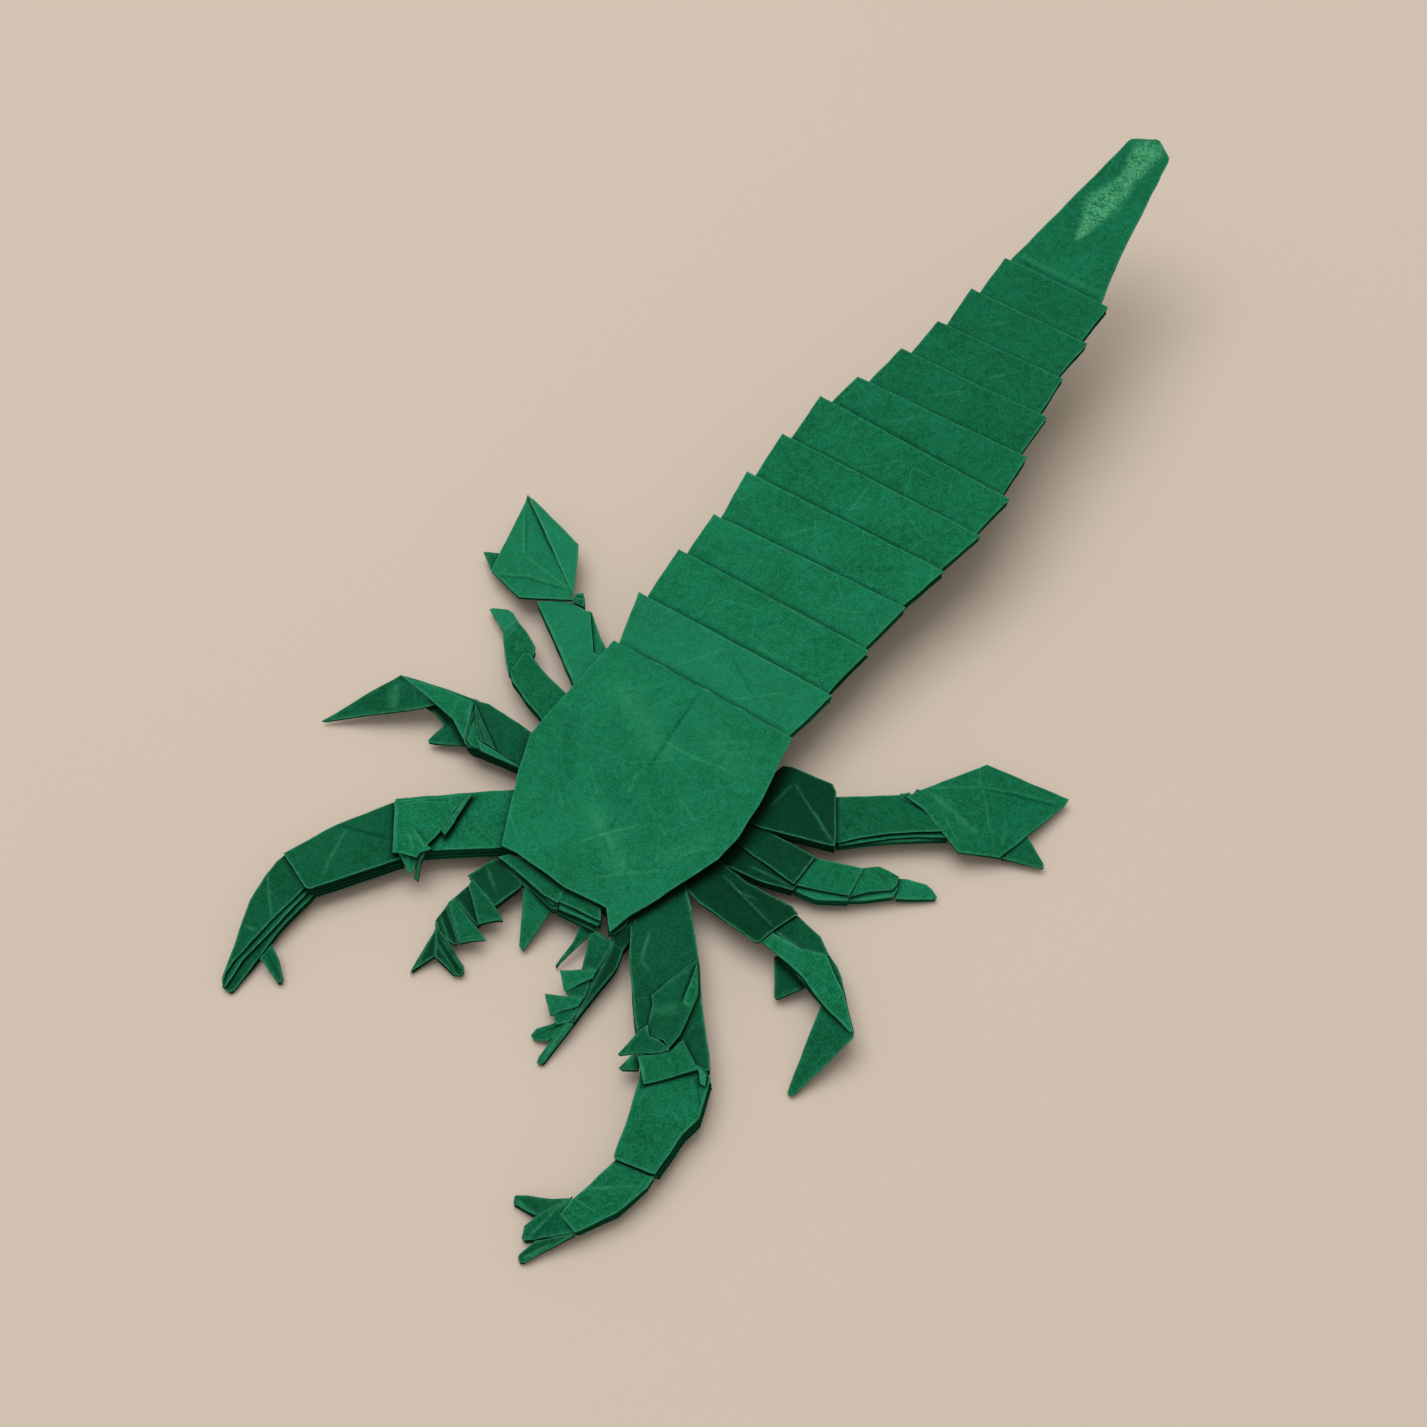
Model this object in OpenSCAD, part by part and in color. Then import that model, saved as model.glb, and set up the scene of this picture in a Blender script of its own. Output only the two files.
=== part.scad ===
// Sea scorpion folded from one uncut square of paper, in millimetres.
// The head points to -Y and the tail to +Y. The origin lies on the flat belly, which rests at z = 0.
// Every panel is a flat pack of pressed paper layers. Packs lap over each other like shingles and
// run into each other at the folds, so the whole sheet is one solid.

/* [Paper] */
// Thickness of the upper layers of a pack
ply_t = 0.9; // [0.6:0.1:1.4]
// Thickness of a whole pack in the body, the tail and the limbs
pack_t = 2.2; // [1.8:0.1:3]
// Thickness of the pack at the tips of the limbs
tip_t = 1.2; // [0.8:0.1:2]
// How far the lower layers of a pack stand back from its edge
ply_step = 0.6; // [0.2:0.1:1]
// Height of the step where one pack laps over the next
lap_h = 0.7; // [0.4:0.1:1.2]
// How far a pack reaches under the one that laps over it
lap = 2.2; // [1.5:0.1:3]

/* [Carapace] */
// Length of the carapace from the front edge to the waist
carapace_len = 40; // [34:1:50]
// Width of the front edge
front_w = 22; // [18:0.5:28]
// Width across the shoulders
shoulder_w = 36.5; // [32:0.5:44]
// Width of the rear edge
waist_w = 33.5; // [30:0.5:40]
// Distance of the shoulders behind the front edge
shoulder_at = 18; // [14:0.5:22]
// Length of the straight flank behind the shoulders
flank_len = 9; // [4:0.5:12]
// Height of the front edge above the table
front_h = 6.5; // [5.5:0.1:9]
// Height of the rear edge above the table
waist_h = 9; // [7.5:0.1:12]
// How far the middle of the front edge is set back from its corners
front_notch = 0.8; // [0:0.1:2]
// How much the middle crease stands above the two halves
crease_h = 0.4; // [0:0.1:1.5]
// How far the carapace stands out over the layers of the belly
brim = 2; // [1:0.1:4]
// Number of layers that show in the side of the belly
belly_plies = 4; // [2:1:6]
// How far the lowest layer under the front edge reaches forward
muzzle_reach = 2.4; // [1:0.1:4]

/* [Tail] */
// Number of segments in the tail
segments = 11; // [8:1:14]
// Length of the tail from the waist to the last segment
tail_len = 99; // [80:1:120]
// Width of the first segment at its rear edge
tail_w = 36.2; // [32:0.1:42]
// Width of the widest segment
tail_wide_w = 37.6; // [34:0.5:46]
// Width where the tail has narrowed
tail_taper_w = 28.5; // [24:0.5:34]
// Width of the last segment
tail_end_w = 20.6; // [16:0.2:26]
// How far each rear corner stands out past the next segment
flare = 1.6; // [0.8:0.1:2.6]
// How much the last segment is lifted above the waist
tail_rise = 13; // [0:0.5:20]
// How much longer the first segments are than the last ones, as a share
tail_shrink = 0.08; // [0:0.01:0.2]

/* [Telson] */
// Length of the tail spine behind the last segment
telson_len = 39; // [28:1:48]
// Width of the spine where it leaves the last segment
telson_w = 17.6; // [13:0.5:20]
// Width of the spine at its blunt tip
telson_tip_w = 8.4; // [5:0.2:12]
// How much the tip is lifted above the last segment
telson_rise = 5; // [0:0.5:10]
// Thickness of the spine
telson_t = 1.6; // [1.2:0.1:2.4]

/* [Paddle legs] */
// Width of the strip that carries the paddle
paddle_strip_w = 8.4; // [6:0.2:10]
// Length of that strip
paddle_strip_len = 14; // [10:0.5:20]
// Length of the paddle
paddle_len = 23; // [18:0.5:30]
// Width of the paddle
paddle_w = 15.6; // [12:0.5:20]
// Length of the root pack outside the carapace, on the left
paddle_root_left = 1.5; // [1:0.5:12]
// Length of the root pack outside the carapace, on the right
paddle_root_right = 10.5; // [1:0.5:12]
// How far the left paddle sits headward of the middle of its strip
paddle_shift_left = 3.2; // [0:0.1:5]
// How far the right paddle sits headward of the middle of its strip
paddle_shift_right = 2.2; // [0:0.1:5]

/* [Short legs] */
// Width of the short legs where they leave the carapace
short_w = 7; // [5:0.2:9]
// Length of the whole short leg
short_len = 28; // [22:0.5:36]
// Shares of that length that the four pleats of the left leg take
short_shares_left = [0.41, 0.28, 0.15, 0.1]; // [0.05:0.01:0.5]
// Shares that the four pleats of the right leg take
short_shares_right = [0.36, 0.29, 0.22, 0.19]; // [0.05:0.01:0.5]

/* [Walking legs] */
// Width of the walking legs
walk_w = 7.2; // [5:0.2:9]
// Length of the first part of the left walking leg
walk_upper_left = 9.5; // [8:0.5:14]
// Length of the first part of the right walking leg
walk_upper_right = 13.5; // [8:0.5:16]
// Length of the middle part on the left
walk_mid_left = 12; // [10:0.5:18]
// Length of the middle part on the right
walk_mid_right = 17; // [10:0.5:20]
// Length of the pointed end on the left
walk_tip_left = 15; // [9:0.5:18]
// Length of the pointed end on the right
walk_tip_right = 12; // [9:0.5:18]

/* [Great arms] */
// Width of the great arms
arm_w = 9.8; // [8:0.2:12]
// Width of the arm at the wrist
wrist_w = 6.8; // [5:0.2:9]
// Length of the left upper arm
arm_upper_left = 17; // [14:0.5:24]
// Length of the right upper arm
arm_upper_right = 27.5; // [18:0.5:32]
// Length of the left forearm
arm_fore_left = 15.5; // [10:0.5:20]
// Length of the right forearm
arm_fore_right = 13; // [10:0.5:20]
// Length of the palm of the claw
palm_len = 10.3; // [7:0.1:14]
// Length of the fingers of the claw
finger_len = 8.3; // [5:0.1:12]
// Length of the pointed flaps at the elbow
elbow_spike_len = 3; // [1.5:0.1:5]

/* [Mouth limbs] */
// Width of the toothed limbs in front of the head
palp_w = 4.8; // [3:0.2:6]
// Length of the toothed part
palp_len = 14; // [10:0.5:18]
// Length of the forked end of the left one
fork_len_left = 9; // [5:0.5:12]
// Length of the forked end of the right one
fork_len_right = 7; // [5:0.5:12]
// How far the teeth stand out
tooth_len = 3.4; // [2:0.2:5]
// Number of teeth on each toothed limb
teeth = 2; // [1:1:4]
// Length of the two spikes under the front edge
spike_len = 7.2; // [5:0.2:10]
// Width of those spikes at their root
spike_w = 4.4; // [3:0.2:6]

/* [Pose] */
// Sideways place of the middle line at the front edge
head_drift = 0.6; // [-3:0.1:3]
// Sideways place of the middle line at the waist
waist_drift = -2.2; // [-3:0.1:3]
// Sideways place of the middle line at the last segment
tail_drift = 2.4; // [-5:0.1:5]
// Sideways place of the tip of the spine
tip_drift = 1; // [-5:0.1:5]
// Turn of the front edge, in degrees
head_turn = -7; // [-10:1:10]
// Turn of the last segment, in degrees
tail_turn = -2; // [-8:1:8]
// How much further back the left limbs sit than the right ones
limb_skew = 3.6; // [0:0.2:6]
// Height of the limbs where they leave the carapace
limb_h = 4.7; // [4:0.1:5.2]
// Places of the left limbs behind the front edge: great arm, walking, short and paddle leg
limbs_at_left = [4.7, 16, 25, 35.2]; // [3:0.1:38]
// Places of the right limbs behind the front edge
limbs_at_right = [8.6, 15.7, 24.5, 33.5]; // [3:0.1:38]
// Places of the two spikes, across from the middle line
spikes_at = [-2.2, 6.4]; // [-9:0.1:9]
// How far the tips of the spikes lean to the right
spikes_lean = [2.1, -0.6]; // [-4:0.1:4]

/* [Headings of the limbs] */
// Root, strip and paddle on the left, in degrees tailward from straight outward
paddle_turns_left = [24, 32, 45]; // [-20:1:80]
// Root, strip and paddle on the right
paddle_turns_right = [10, 42, 51]; // [-20:1:80]
// Four pleats of the left short leg
short_turns_left = [24, 35, 32, 28]; // [-20:1:60]
// Four pleats of the right short leg
short_turns_right = [5, 24, 35, 27]; // [-20:1:60]
// First part, middle part and pointed end of the left walking leg
walk_turns_left = [-2, -2, -49]; // [-120:1:30]
// First part, middle part and pointed end of the right walking leg
walk_turns_right = [-1, -27, -90]; // [-120:1:30]
// Upper arm, forearm and claw on the left
arm_turns_left = [-42.5, -63, -98]; // [-130:0.5:0]
// Upper arm, forearm and claw on the right
arm_turns_right = [-50.5, -75.5, -105]; // [-130:0.5:0]
// Left toothed limb and the two ends of its fork
palp_turns_left = [-87, -95, -128]; // [-140:1:-60]
// Right toothed limb and the two ends of its fork
palp_turns_right = [-82, -83, -114]; // [-140:1:-60]

/* [Hidden] */

LEFT = -1;
RIGHT = 1;
paper_green = [0.05, 0.45, 0.3];
deep_green = [0.03, 0.36, 0.24];

// Stations along the body
front_y = -0.7 * carapace_len;
waist_y = front_y + carapace_len;
shoulder_y = front_y + shoulder_at;
flank_y = min(shoulder_y + flank_len, waist_y - 2);
tail_y = waist_y + tail_len;
tip_y = tail_y + telson_len;
widest_at = round(0.55 * segments);
taper_at = round(0.73 * segments);
// How far a limb reaches in under the carapace
tuck = 7;

// Middle line, turn, height and half width of the body at a station
function mid(y) = lookup(y, [[front_y, head_drift], [waist_y, waist_drift],
                             [tail_y, tail_drift], [tip_y, tip_drift]]);
function turn(y) = lookup(y, [[front_y, head_turn], [waist_y, 0], [tail_y, tail_turn]]);
function top_z(y) = lookup(y, [[front_y, front_h], [waist_y, waist_h],
                               [tail_y, waist_h + tail_rise],
                               [tip_y, waist_h + tail_rise + telson_rise]]);
function edge(y) = lookup(y, [[front_y, front_w / 2], [shoulder_y, shoulder_w / 2],
                              [flank_y, shoulder_w / 2], [waist_y, waist_w / 2]]);

// Point of the body at a station, a distance across from the middle line and a height
function at(y, across, z) = [mid(y) + across * cos(turn(y)), y + across * sin(turn(y)), z];

// Point of a limb that starts at p and points a degrees back from straight outward:
// u along the limb, v towards its tailward or outer side
function loc(p, side, a, u, v, z = 0) = [p.x + side * (u * cos(a) - v * sin(a)),
                                         p.y + u * sin(a) + v * cos(a), z];
// Where a limb leaves the carapace, a distance behind the front edge
function root(side, behind) = let (y = front_y + behind - side * limb_skew / 2)
    [mid(y) + side * edge(y), y];

function middle(c) = [for (k = [0:2]) sum([for (q = c) q[k]]) / len(c)];
function sum(list, i = 0) = i < len(list) ? list[i] + sum(list, i + 1) : 0;
// The same outline with each corner moved towards the middle
function inset(c, d) = let (m = middle(c))
    [for (q = c) q - [q.x - m.x, q.y - m.y, 0] * min(d / norm([q.x - m.x, q.y - m.y]), 0.6)];
// The outline let down by h, or by one height for each corner
function lowered(c, h) = [for (i = [0:len(c) - 1]) c[i] - [0, 0, is_list(h) ? h[i] : h]];

// One flat pack with a convex outline; the corners are those of its upper face.
// t is its thickness, or one thickness for each corner.
module facet(corners, t) {
    n = len(corners);
    hull() polyhedron(
        points = concat(corners, lowered(corners, t)),
        faces = concat([[for (i = [0:n - 1]) i]], [[for (i = [n - 1:-1:0]) n + i]],
                       [for (i = [0:n - 1]) [(i + 1) % n, i, n + i, n + (i + 1) % n]]));
}

// A pack whose lower layers stand back from its edge
module pack(corners, t = pack_t) {
    facet(corners, min(ply_t, t));
    facet(inset(corners, ply_step), t);
}

// A pack that goes straight down to the table
module block(corners) {
    hull() {
        facet(corners, ply_t);
        facet([for (q = corners) [q.x, q.y, ply_t]], ply_t);
    }
}

// A tapering strip of a limb, from u = 0 to u = l
module strip(p, side, a, l, w0, w1, z0, z1, t = pack_t) {
    pack([loc(p, side, a, 0, -w0 / 2, z0), loc(p, side, a, 0, w0 / 2, z0),
          loc(p, side, a, l, w1 / 2, z1), loc(p, side, a, l, -w1 / 2, z1)], t);
}

// A chain of strips. Each one laps over the next, which starts lower and further in.
module chain(p, side, headings, lengths, widths, heights, i = 0) {
    a = headings[i];
    last = i == len(lengths) - 1;
    back = i == 0 ? tuck : lap;
    z0 = heights[i] - (i == 0 ? 0 : lap_h);
    thick = last ? tip_t : pack_t - (pack_t - tip_t) * i / len(lengths);
    strip(loc(p, side, a, -back, 0), side, a, lengths[i] + back, widths[i], widths[i + 1],
          z0, heights[i + 1], min(thick, heights[i + 1]));
    if (!last)
        chain(loc(p, side, a, lengths[i], 0), side, headings, lengths, widths, heights, i + 1);
}

// Carapace: two halves that meet at the middle crease
module carapace() {
    color(paper_green)
    for (side = [LEFT, RIGHT])
        facet([at(front_y + front_notch, 0, front_h + crease_h),
               at(front_y, side * front_w / 2, front_h),
               at(shoulder_y, side * shoulder_w / 2, top_z(shoulder_y)),
               at(flank_y, side * shoulder_w / 2, top_z(flank_y)),
               at(waist_y, side * waist_w / 2, waist_h),
               at(waist_y, 0, waist_h + crease_h)],
              [ply_t + crease_h, ply_t, ply_t, ply_t, ply_t, ply_t + crease_h]);
}

// Outline of a belly layer, a distance inside the carapace, at a share of its height
function belly_line(inside, share) = [for (side = [LEFT, RIGHT], k = [0:3])
    let (y = [front_y + inside, shoulder_y, flank_y, waist_y][side == LEFT ? k : 3 - k])
    at(y, side * (edge(y) - inside), (top_z(y) - ply_t / 2) * share)];

// The layers under the carapace, down to the flat belly
module belly() {
    color(deep_green)
    for (k = [0:belly_plies - 1])
        block(belly_line(brim + (k % 2) * ply_step, 1 - k / belly_plies));
}

// Layers that show under the front edge, one group at each side of the middle
module muzzle() {
    groups = 3;
    pitch = (front_h - ply_t / 2) / (groups + 0.5);
    color(deep_green)
    for (side = [LEFT, RIGHT], k = [0:groups - 1]) {
        reach = muzzle_reach * (k + 1) / groups * (side == LEFT ? 1 : 0.7);
        z = front_h - ply_t / 2 - k * pitch + 0.02;
        inner = side == LEFT ? -1.5 : 1.9;
        facet([at(front_y + brim + 1, side * inner, z), at(front_y - reach, side * inner, z),
               at(front_y - reach, side * (front_w / 2 - 0.8 * k), z),
               at(front_y + brim + 1, side * (front_w / 2 - 0.8 * k), z)],
              pitch + 0.1);
    }
}

// Station and width of the rear edge of segment i; 0 is the waist
function seam(i) = waist_y + tail_len * i / segments * (1 + tail_shrink * (1 - i / segments));
function tail_width(i) = lookup(i, [[0, waist_w], [1, tail_w], [widest_at, tail_wide_w],
                                    [taper_at, tail_taper_w], [segments, tail_end_w]]);

// One segment: it starts under the one before it, and its rear corners flare out
module segment(i) {
    y0 = seam(i) - lap;
    y1 = seam(i + 1);
    w0 = tail_width(i) / 2 - flare;
    w1 = tail_width(i + 1) / 2;
    z0 = top_z(seam(i)) - lap_h - (top_z(y1) - top_z(seam(i))) * lap / (y1 - seam(i));
    pack([at(y0, -w0, z0), at(y0, w0, z0), at(y1, w1, top_z(y1)), at(y1, -w1, top_z(y1))]);
}

module tail() {
    for (i = [0:segments - 1])
        color(i % 2 == 0 ? paper_green : deep_green) segment(i);
}

// Tail spine: a long flat blade with a blunt tip
module telson() {
    y0 = tail_y - lap;
    cut = telson_tip_w / 2;
    z0 = top_z(y0) - lap_h;
    color(paper_green)
    pack([at(y0, -telson_w / 2, z0), at(y0, telson_w / 2, z0),
          at(tip_y - 1.3 * cut, telson_tip_w / 2, top_z(tip_y - 1.3 * cut)),
          at(tip_y - 0.7 * cut, telson_tip_w / 2 - 0.6, top_z(tip_y - 0.7 * cut)),
          at(tip_y, 0.4, top_z(tip_y)),
          at(tip_y - 0.7 * cut, -telson_tip_w / 2, top_z(tip_y - 0.7 * cut))], telson_t);
}

// Paddle: a kite of four facets with a small pointed flap at its headward corner.
// The folds meet at its heart, which lies a share of the half width off the long axis.
module paddle(p, side, a, tip_z, wing_z, heart_share) {
    z = limb_h;
    half = paddle_w / 2;
    tip = loc(p, side, a, paddle_len, 0, tip_z);
    base_back = loc(p, side, a, -1.4, 0.64 * half, z);
    base_front = loc(p, side, a, 1.5, -0.64 * half, z - 0.6);
    wing_back = loc(p, side, a, 0.48 * paddle_len, half, wing_z);
    wing_front = loc(p, side, a, 0.39 * paddle_len, -half, 2 * tip_t);
    notch = loc(p, side, a, 0.58 * paddle_len, -0.7 * half, 2 * tip_t);
    flap_tip = loc(p, side, a, 0.62 * paddle_len, -1.2 * half, tip_t);
    heart = loc(p, side, a, 0.39 * paddle_len, heart_share * half, 0.85 * z);
    facet([tip, wing_back, base_back], tip_t);
    facet(lowered([tip, base_back, heart], 0.2), tip_t - 0.2);
    facet(lowered([tip, heart, wing_front, notch], 0.2), tip_t - 0.2);
    facet(lowered([heart, base_back, base_front, wing_front], 0.2), tip_t);
    facet([wing_front, notch, flap_tip], tip_t);
}

// Paddle leg: a wide root pack with a slanting end, a strip and the paddle
module paddle_leg(side, behind, root_len, headings, shift, tip_z, wing_z, heart_share) {
    p = root(side, behind);
    a = headings[0];
    elbow = loc(p, side, a, root_len, 0);
    wrist = loc(elbow, side, headings[1], paddle_strip_len, 0);
    half = 0.65 * paddle_strip_w;
    z = limb_h + 0.3;
    color(deep_green) {
        pack([loc(p, side, a, -tuck, -half, z), loc(p, side, a, -tuck, half, z),
              loc(p, side, a, root_len - 1.8, half, z), loc(p, side, a, root_len + 1.8, -half, z)]);
        strip(loc(elbow, side, headings[1], -lap, 0), side, headings[1],
              paddle_strip_len + 2 * lap, 1.06 * paddle_strip_w, 0.84 * paddle_strip_w,
              limb_h - 0.3, limb_h - 0.5);
    }
    color(paper_green)
    paddle(loc(wrist, side, headings[1], shift / 2, -shift), side, headings[2],
           tip_z, wing_z, heart_share);
}

// Short leg: four pleated strips that end in a point
module short_leg(side, behind, headings, shares, tip_w) {
    color(paper_green)
    chain(root(side, behind), side, headings, [for (q = shares) q * short_len],
          [short_w, 0.8 * short_w, 0.72 * short_w, 0.46 * short_w, tip_w],
          [limb_h, limb_h - 0.4, limb_h - 1.1, 2 * tip_t, tip_t]);
}

// Walking leg: an upper strip, a middle facet that narrows to the knee, and a pointed end
module walking_leg(side, behind, upper_len, mid_len, tip_len, headings, bulge) {
    p = root(side, behind);
    a = headings[1];
    hip = loc(p, side, headings[0], upper_len, 0);
    half = walk_w / 2;
    knee_z = limb_h + 0.2;
    knee_out = loc(hip, side, a, mid_len + 3, 1, knee_z);
    knee_in = loc(hip, side, a, mid_len - 3, -1.2, knee_z - 0.9);
    knee = loc(hip, side, a, mid_len, 0);
    color(deep_green) {
        strip(loc(p, side, headings[0], -tuck, 0), side, headings[0], upper_len + tuck,
              walk_w, walk_w, limb_h, limb_h);
        facet([loc(hip, side, a, 0.5, -half + 0.4, limb_h - 1.3),
               loc(hip, side, a, 7.4, -0.8, limb_h - 1.3),
               loc(hip, side, a, 7, -half - 1.5, tip_t)], tip_t);
    }
    color(paper_green) {
        pack([loc(hip, side, a, -lap, 0.3 - half, limb_h - lap_h),
              loc(hip, side, a, -lap, half - 0.3, limb_h - lap_h),
              loc(hip, side, a, 0.52 * mid_len, half + bulge, limb_h),
              knee_out, knee_in], 0.75 * pack_t);
        facet([knee_out, knee_in, loc(hip, side, a, mid_len - 4.5, 0, knee_z - 0.9),
               loc(knee, side, headings[2], tip_len, 0, tip_t)], tip_t);
    }
}

// Elbow of a great arm: a raised flap with a lip, and pointed flaps at its inner side
module elbow(p, side, a) {
    half = arm_w / 2;
    z = limb_h + lap_h;
    color(paper_green) {
        facet([loc(p, side, a, -1.2 * arm_w, half, z), loc(p, side, a, 0.2, half + 0.2, z),
               loc(p, side, a, 0.2, -half, z), loc(p, side, a, -0.48 * arm_w, -half - 0.2, z)],
              ply_t);
        for (k = [0, 1])
            facet([loc(p, side, a, -7 + 3 * k, 0.8 - half, z - 0.5 * k),
                   loc(p, side, a, -3.4 + 2.4 * k, 0.8 - half, z - 0.5 * k),
                   loc(p, side, a, -4.6 + 2.2 * k, -half - elbow_spike_len + 0.8 * k, 2 * tip_t)],
                  tip_t);
    }
}

// Great arm: upper arm, elbow flap, forearm and claw
module arm(side, behind, upper_len, fore_len, headings) {
    p = root(side, behind);
    bend = loc(p, side, headings[0], upper_len, 0);
    wrist = loc(bend, side, headings[1], fore_len, 0);
    color(deep_green) {
        strip(loc(p, side, headings[0], -tuck, 0), side, headings[0], upper_len + tuck,
              arm_w, arm_w, limb_h, limb_h);
        strip(loc(bend, side, headings[1], -1.6 * lap, 0), side, headings[1],
              fore_len + 1.6 * lap, arm_w, wrist_w, limb_h - 0.4, limb_h - 0.3);
    }
    elbow(bend, side, headings[0]);
    color(paper_green) claw(wrist, side, headings[2]);
}

// A pointed finger of a claw
module finger(p, side, a, l, w0, z0) {
    strip(p, side, a, l, w0, 1.2, z0, tip_t, tip_t);
}

// Claw of a great arm. The left one is closed and has one thumb, the right one is spread open.
module claw(p, side, a) {
    end_w = 0.76 * wrist_w;
    z = limb_h - lap_h - 0.3;
    q = loc(p, side, a, palm_len, 0);
    strip(loc(p, side, a, -lap, 0), side, a, palm_len + lap, wrist_w - 0.4, end_w, z, z - 0.6,
          0.8 * pack_t);
    if (side == RIGHT) {
        finger(loc(q, side, a, -2.4, -1.6), side, a - 43, finger_len + 0.6, 0.48 * end_w, z - 1.2);
        finger(loc(q, side, a, -1.5, 0), side, a - 26, finger_len, 0.7 * end_w, z - 0.7);
        finger(loc(q, side, a, -0.5, 1.4), side, a - 13, finger_len + 0.5, 0.48 * end_w, z - 1.2);
    } else {
        finger(loc(q, side, a, -1, 0), side, a - 7, finger_len + 1, end_w, z - 0.6);
        finger(loc(q, side, a, -1, -1.6), side, a - 49, 0.7 * finger_len, 0.4 * end_w, z - 1.2);
    }
}

// Toothed limb beside the mouth: a strip whose pleats stand out as teeth, and a forked end
module palp(side, w, fork_len, headings) {
    p = at(front_y, side * (front_w - w) / 2, 0);
    a = headings[0];
    z = limb_h - 0.9;
    end = loc(p, side, a, palp_len, 0);
    pitch = 0.42 * palp_len - 0.75 * (teeth - 1);
    color(deep_green)
    strip(loc(p, side, a, -tuck, 0), side, a, palp_len + tuck, w, 0.9 * w, z, 2 * tip_t, 1.6 * tip_t);
    color(paper_green) {
        for (k = [0:teeth - 1]) {
            u = palp_len * (k + 1.1) / (teeth + 0.9);
            tooth_z = z + 0.6 + (2 * tip_t - z) * u / palp_len;
            facet([loc(p, side, a, u - 0.5 * pitch, w / 2, tooth_z),
                   loc(p, side, a, u + 0.5 * pitch, 0.3 - w / 2, tooth_z - 0.5),
                   loc(p, side, a, u + 0.1 * pitch, -w / 2 - tooth_len, tooth_z - 0.9),
                   loc(p, side, a, u - 0.3 * pitch, 0.3 - w / 2, tooth_z)], 1.1);
        }
        for (k = [0, 1])
            strip(loc(end, side, a, -1.5, (0.25 - 0.5 * k) * w), side, headings[k + 1],
                  fork_len * (1.1 - 0.3 * k), 0.5 * w, 0.9, 2 * tip_t, tip_t, tip_t);
    }
}

// Spike under the front edge
module mandible(across, lean) {
    color(paper_green)
    facet([at(front_y + brim + 1, across - spike_w / 2, front_h - 3),
           at(front_y + brim + 1, across + spike_w / 2, front_h - 3),
           at(front_y - spike_len - 1.2, across + lean + 0.3, tip_t),
           at(front_y - spike_len - 1.2, across + lean - 0.3, tip_t)], tip_t);
}

// The whole folded sheet
module folded_sheet() {
    union() {
        carapace();
        belly();
        muzzle();
        tail();
        telson();
        arm(LEFT, limbs_at_left[0], arm_upper_left, arm_fore_left, arm_turns_left);
        arm(RIGHT, limbs_at_right[0], arm_upper_right, arm_fore_right, arm_turns_right);
        walking_leg(LEFT, limbs_at_left[1], walk_upper_left, walk_mid_left, walk_tip_left,
                    walk_turns_left, -1);
        walking_leg(RIGHT, limbs_at_right[1], walk_upper_right, walk_mid_right, walk_tip_right,
                    walk_turns_right, 0.7);
        short_leg(LEFT, limbs_at_left[2], short_turns_left, short_shares_left, 2.6);
        short_leg(RIGHT, limbs_at_right[2], short_turns_right, short_shares_right, 0.8);
        paddle_leg(LEFT, limbs_at_left[3], paddle_root_left, paddle_turns_left,
                   paddle_shift_left, 4, 4.5, -0.3);
        paddle_leg(RIGHT, limbs_at_right[3], paddle_root_right, paddle_turns_right,
                   paddle_shift_right, 1.5, 4, 0.3);
        palp(LEFT, palp_w, fork_len_left, palp_turns_left);
        palp(RIGHT, 0.64 * palp_w, fork_len_right, palp_turns_right);
        for (k = [0, 1]) mandible(spikes_at[k], spikes_lean[k]);
    }
}

folded_sheet();
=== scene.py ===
# Sea scorpion folded from one sheet of emerald paper, as thin sheets with rounded folds.
# Lengths in this script are millimetres until a mesh is made.
import math
import random
from types import SimpleNamespace

import bpy
import numpy as np
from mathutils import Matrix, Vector, noise
from mathutils.geometry import delaunay_2d_cdt


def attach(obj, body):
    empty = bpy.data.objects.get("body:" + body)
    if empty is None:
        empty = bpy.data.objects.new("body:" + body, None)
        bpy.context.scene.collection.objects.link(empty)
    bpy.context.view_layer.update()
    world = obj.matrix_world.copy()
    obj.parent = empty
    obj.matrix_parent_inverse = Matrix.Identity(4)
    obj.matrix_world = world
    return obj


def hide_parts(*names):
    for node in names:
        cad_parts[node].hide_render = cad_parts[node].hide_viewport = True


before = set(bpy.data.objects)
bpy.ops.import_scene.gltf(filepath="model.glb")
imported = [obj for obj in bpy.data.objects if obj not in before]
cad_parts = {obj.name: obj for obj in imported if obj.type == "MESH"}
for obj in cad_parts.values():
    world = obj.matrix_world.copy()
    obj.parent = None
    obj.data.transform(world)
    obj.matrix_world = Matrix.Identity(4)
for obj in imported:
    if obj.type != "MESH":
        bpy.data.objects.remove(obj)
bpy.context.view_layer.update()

# Sizes
MM = 0.001
OUTLINE_STEP = 1.2  # longest step between two points of an outline
SIDE_WAVE, SIDE_EASE = 3.1, 1.5  # waves in a side folded by hand, and where they fade at its corners
LONG_WAVE, SHORT_WAVE = 9, 2.7  # lengths of the waves in the face of handled paper
INNER_PITCH = 2.2  # mesh of the sheets inside a pack
GRID_ROW, GRID_SHIFT = 0.866, 0.12  # distance of the mesh's rows and its unevenness, in pitches
CLEAR = 0.2  # no inner mesh point lies nearer to the outline
CREASE_WIDTH, CREASE_STEP, CREASE_ROWS = 0.22, 0.5, (-0.5, -0.2, 0, 0.2, 0.5)
CREVICE_STEP, CREVICE_ROWS = 0.55, (0.04, 0.3, 0.65)
EDGE_WIDTH, EDGE_WEAR_AND_HIGHLIGHT, EDGE_ROW = 0.15, 0.9, 0.36  # worn pale line along an edge, partly a painted highlight, and mesh points inside it
RAGGED = 0.22  # how far a side of an inner sheet may lie behind the upper sheet's
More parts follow.
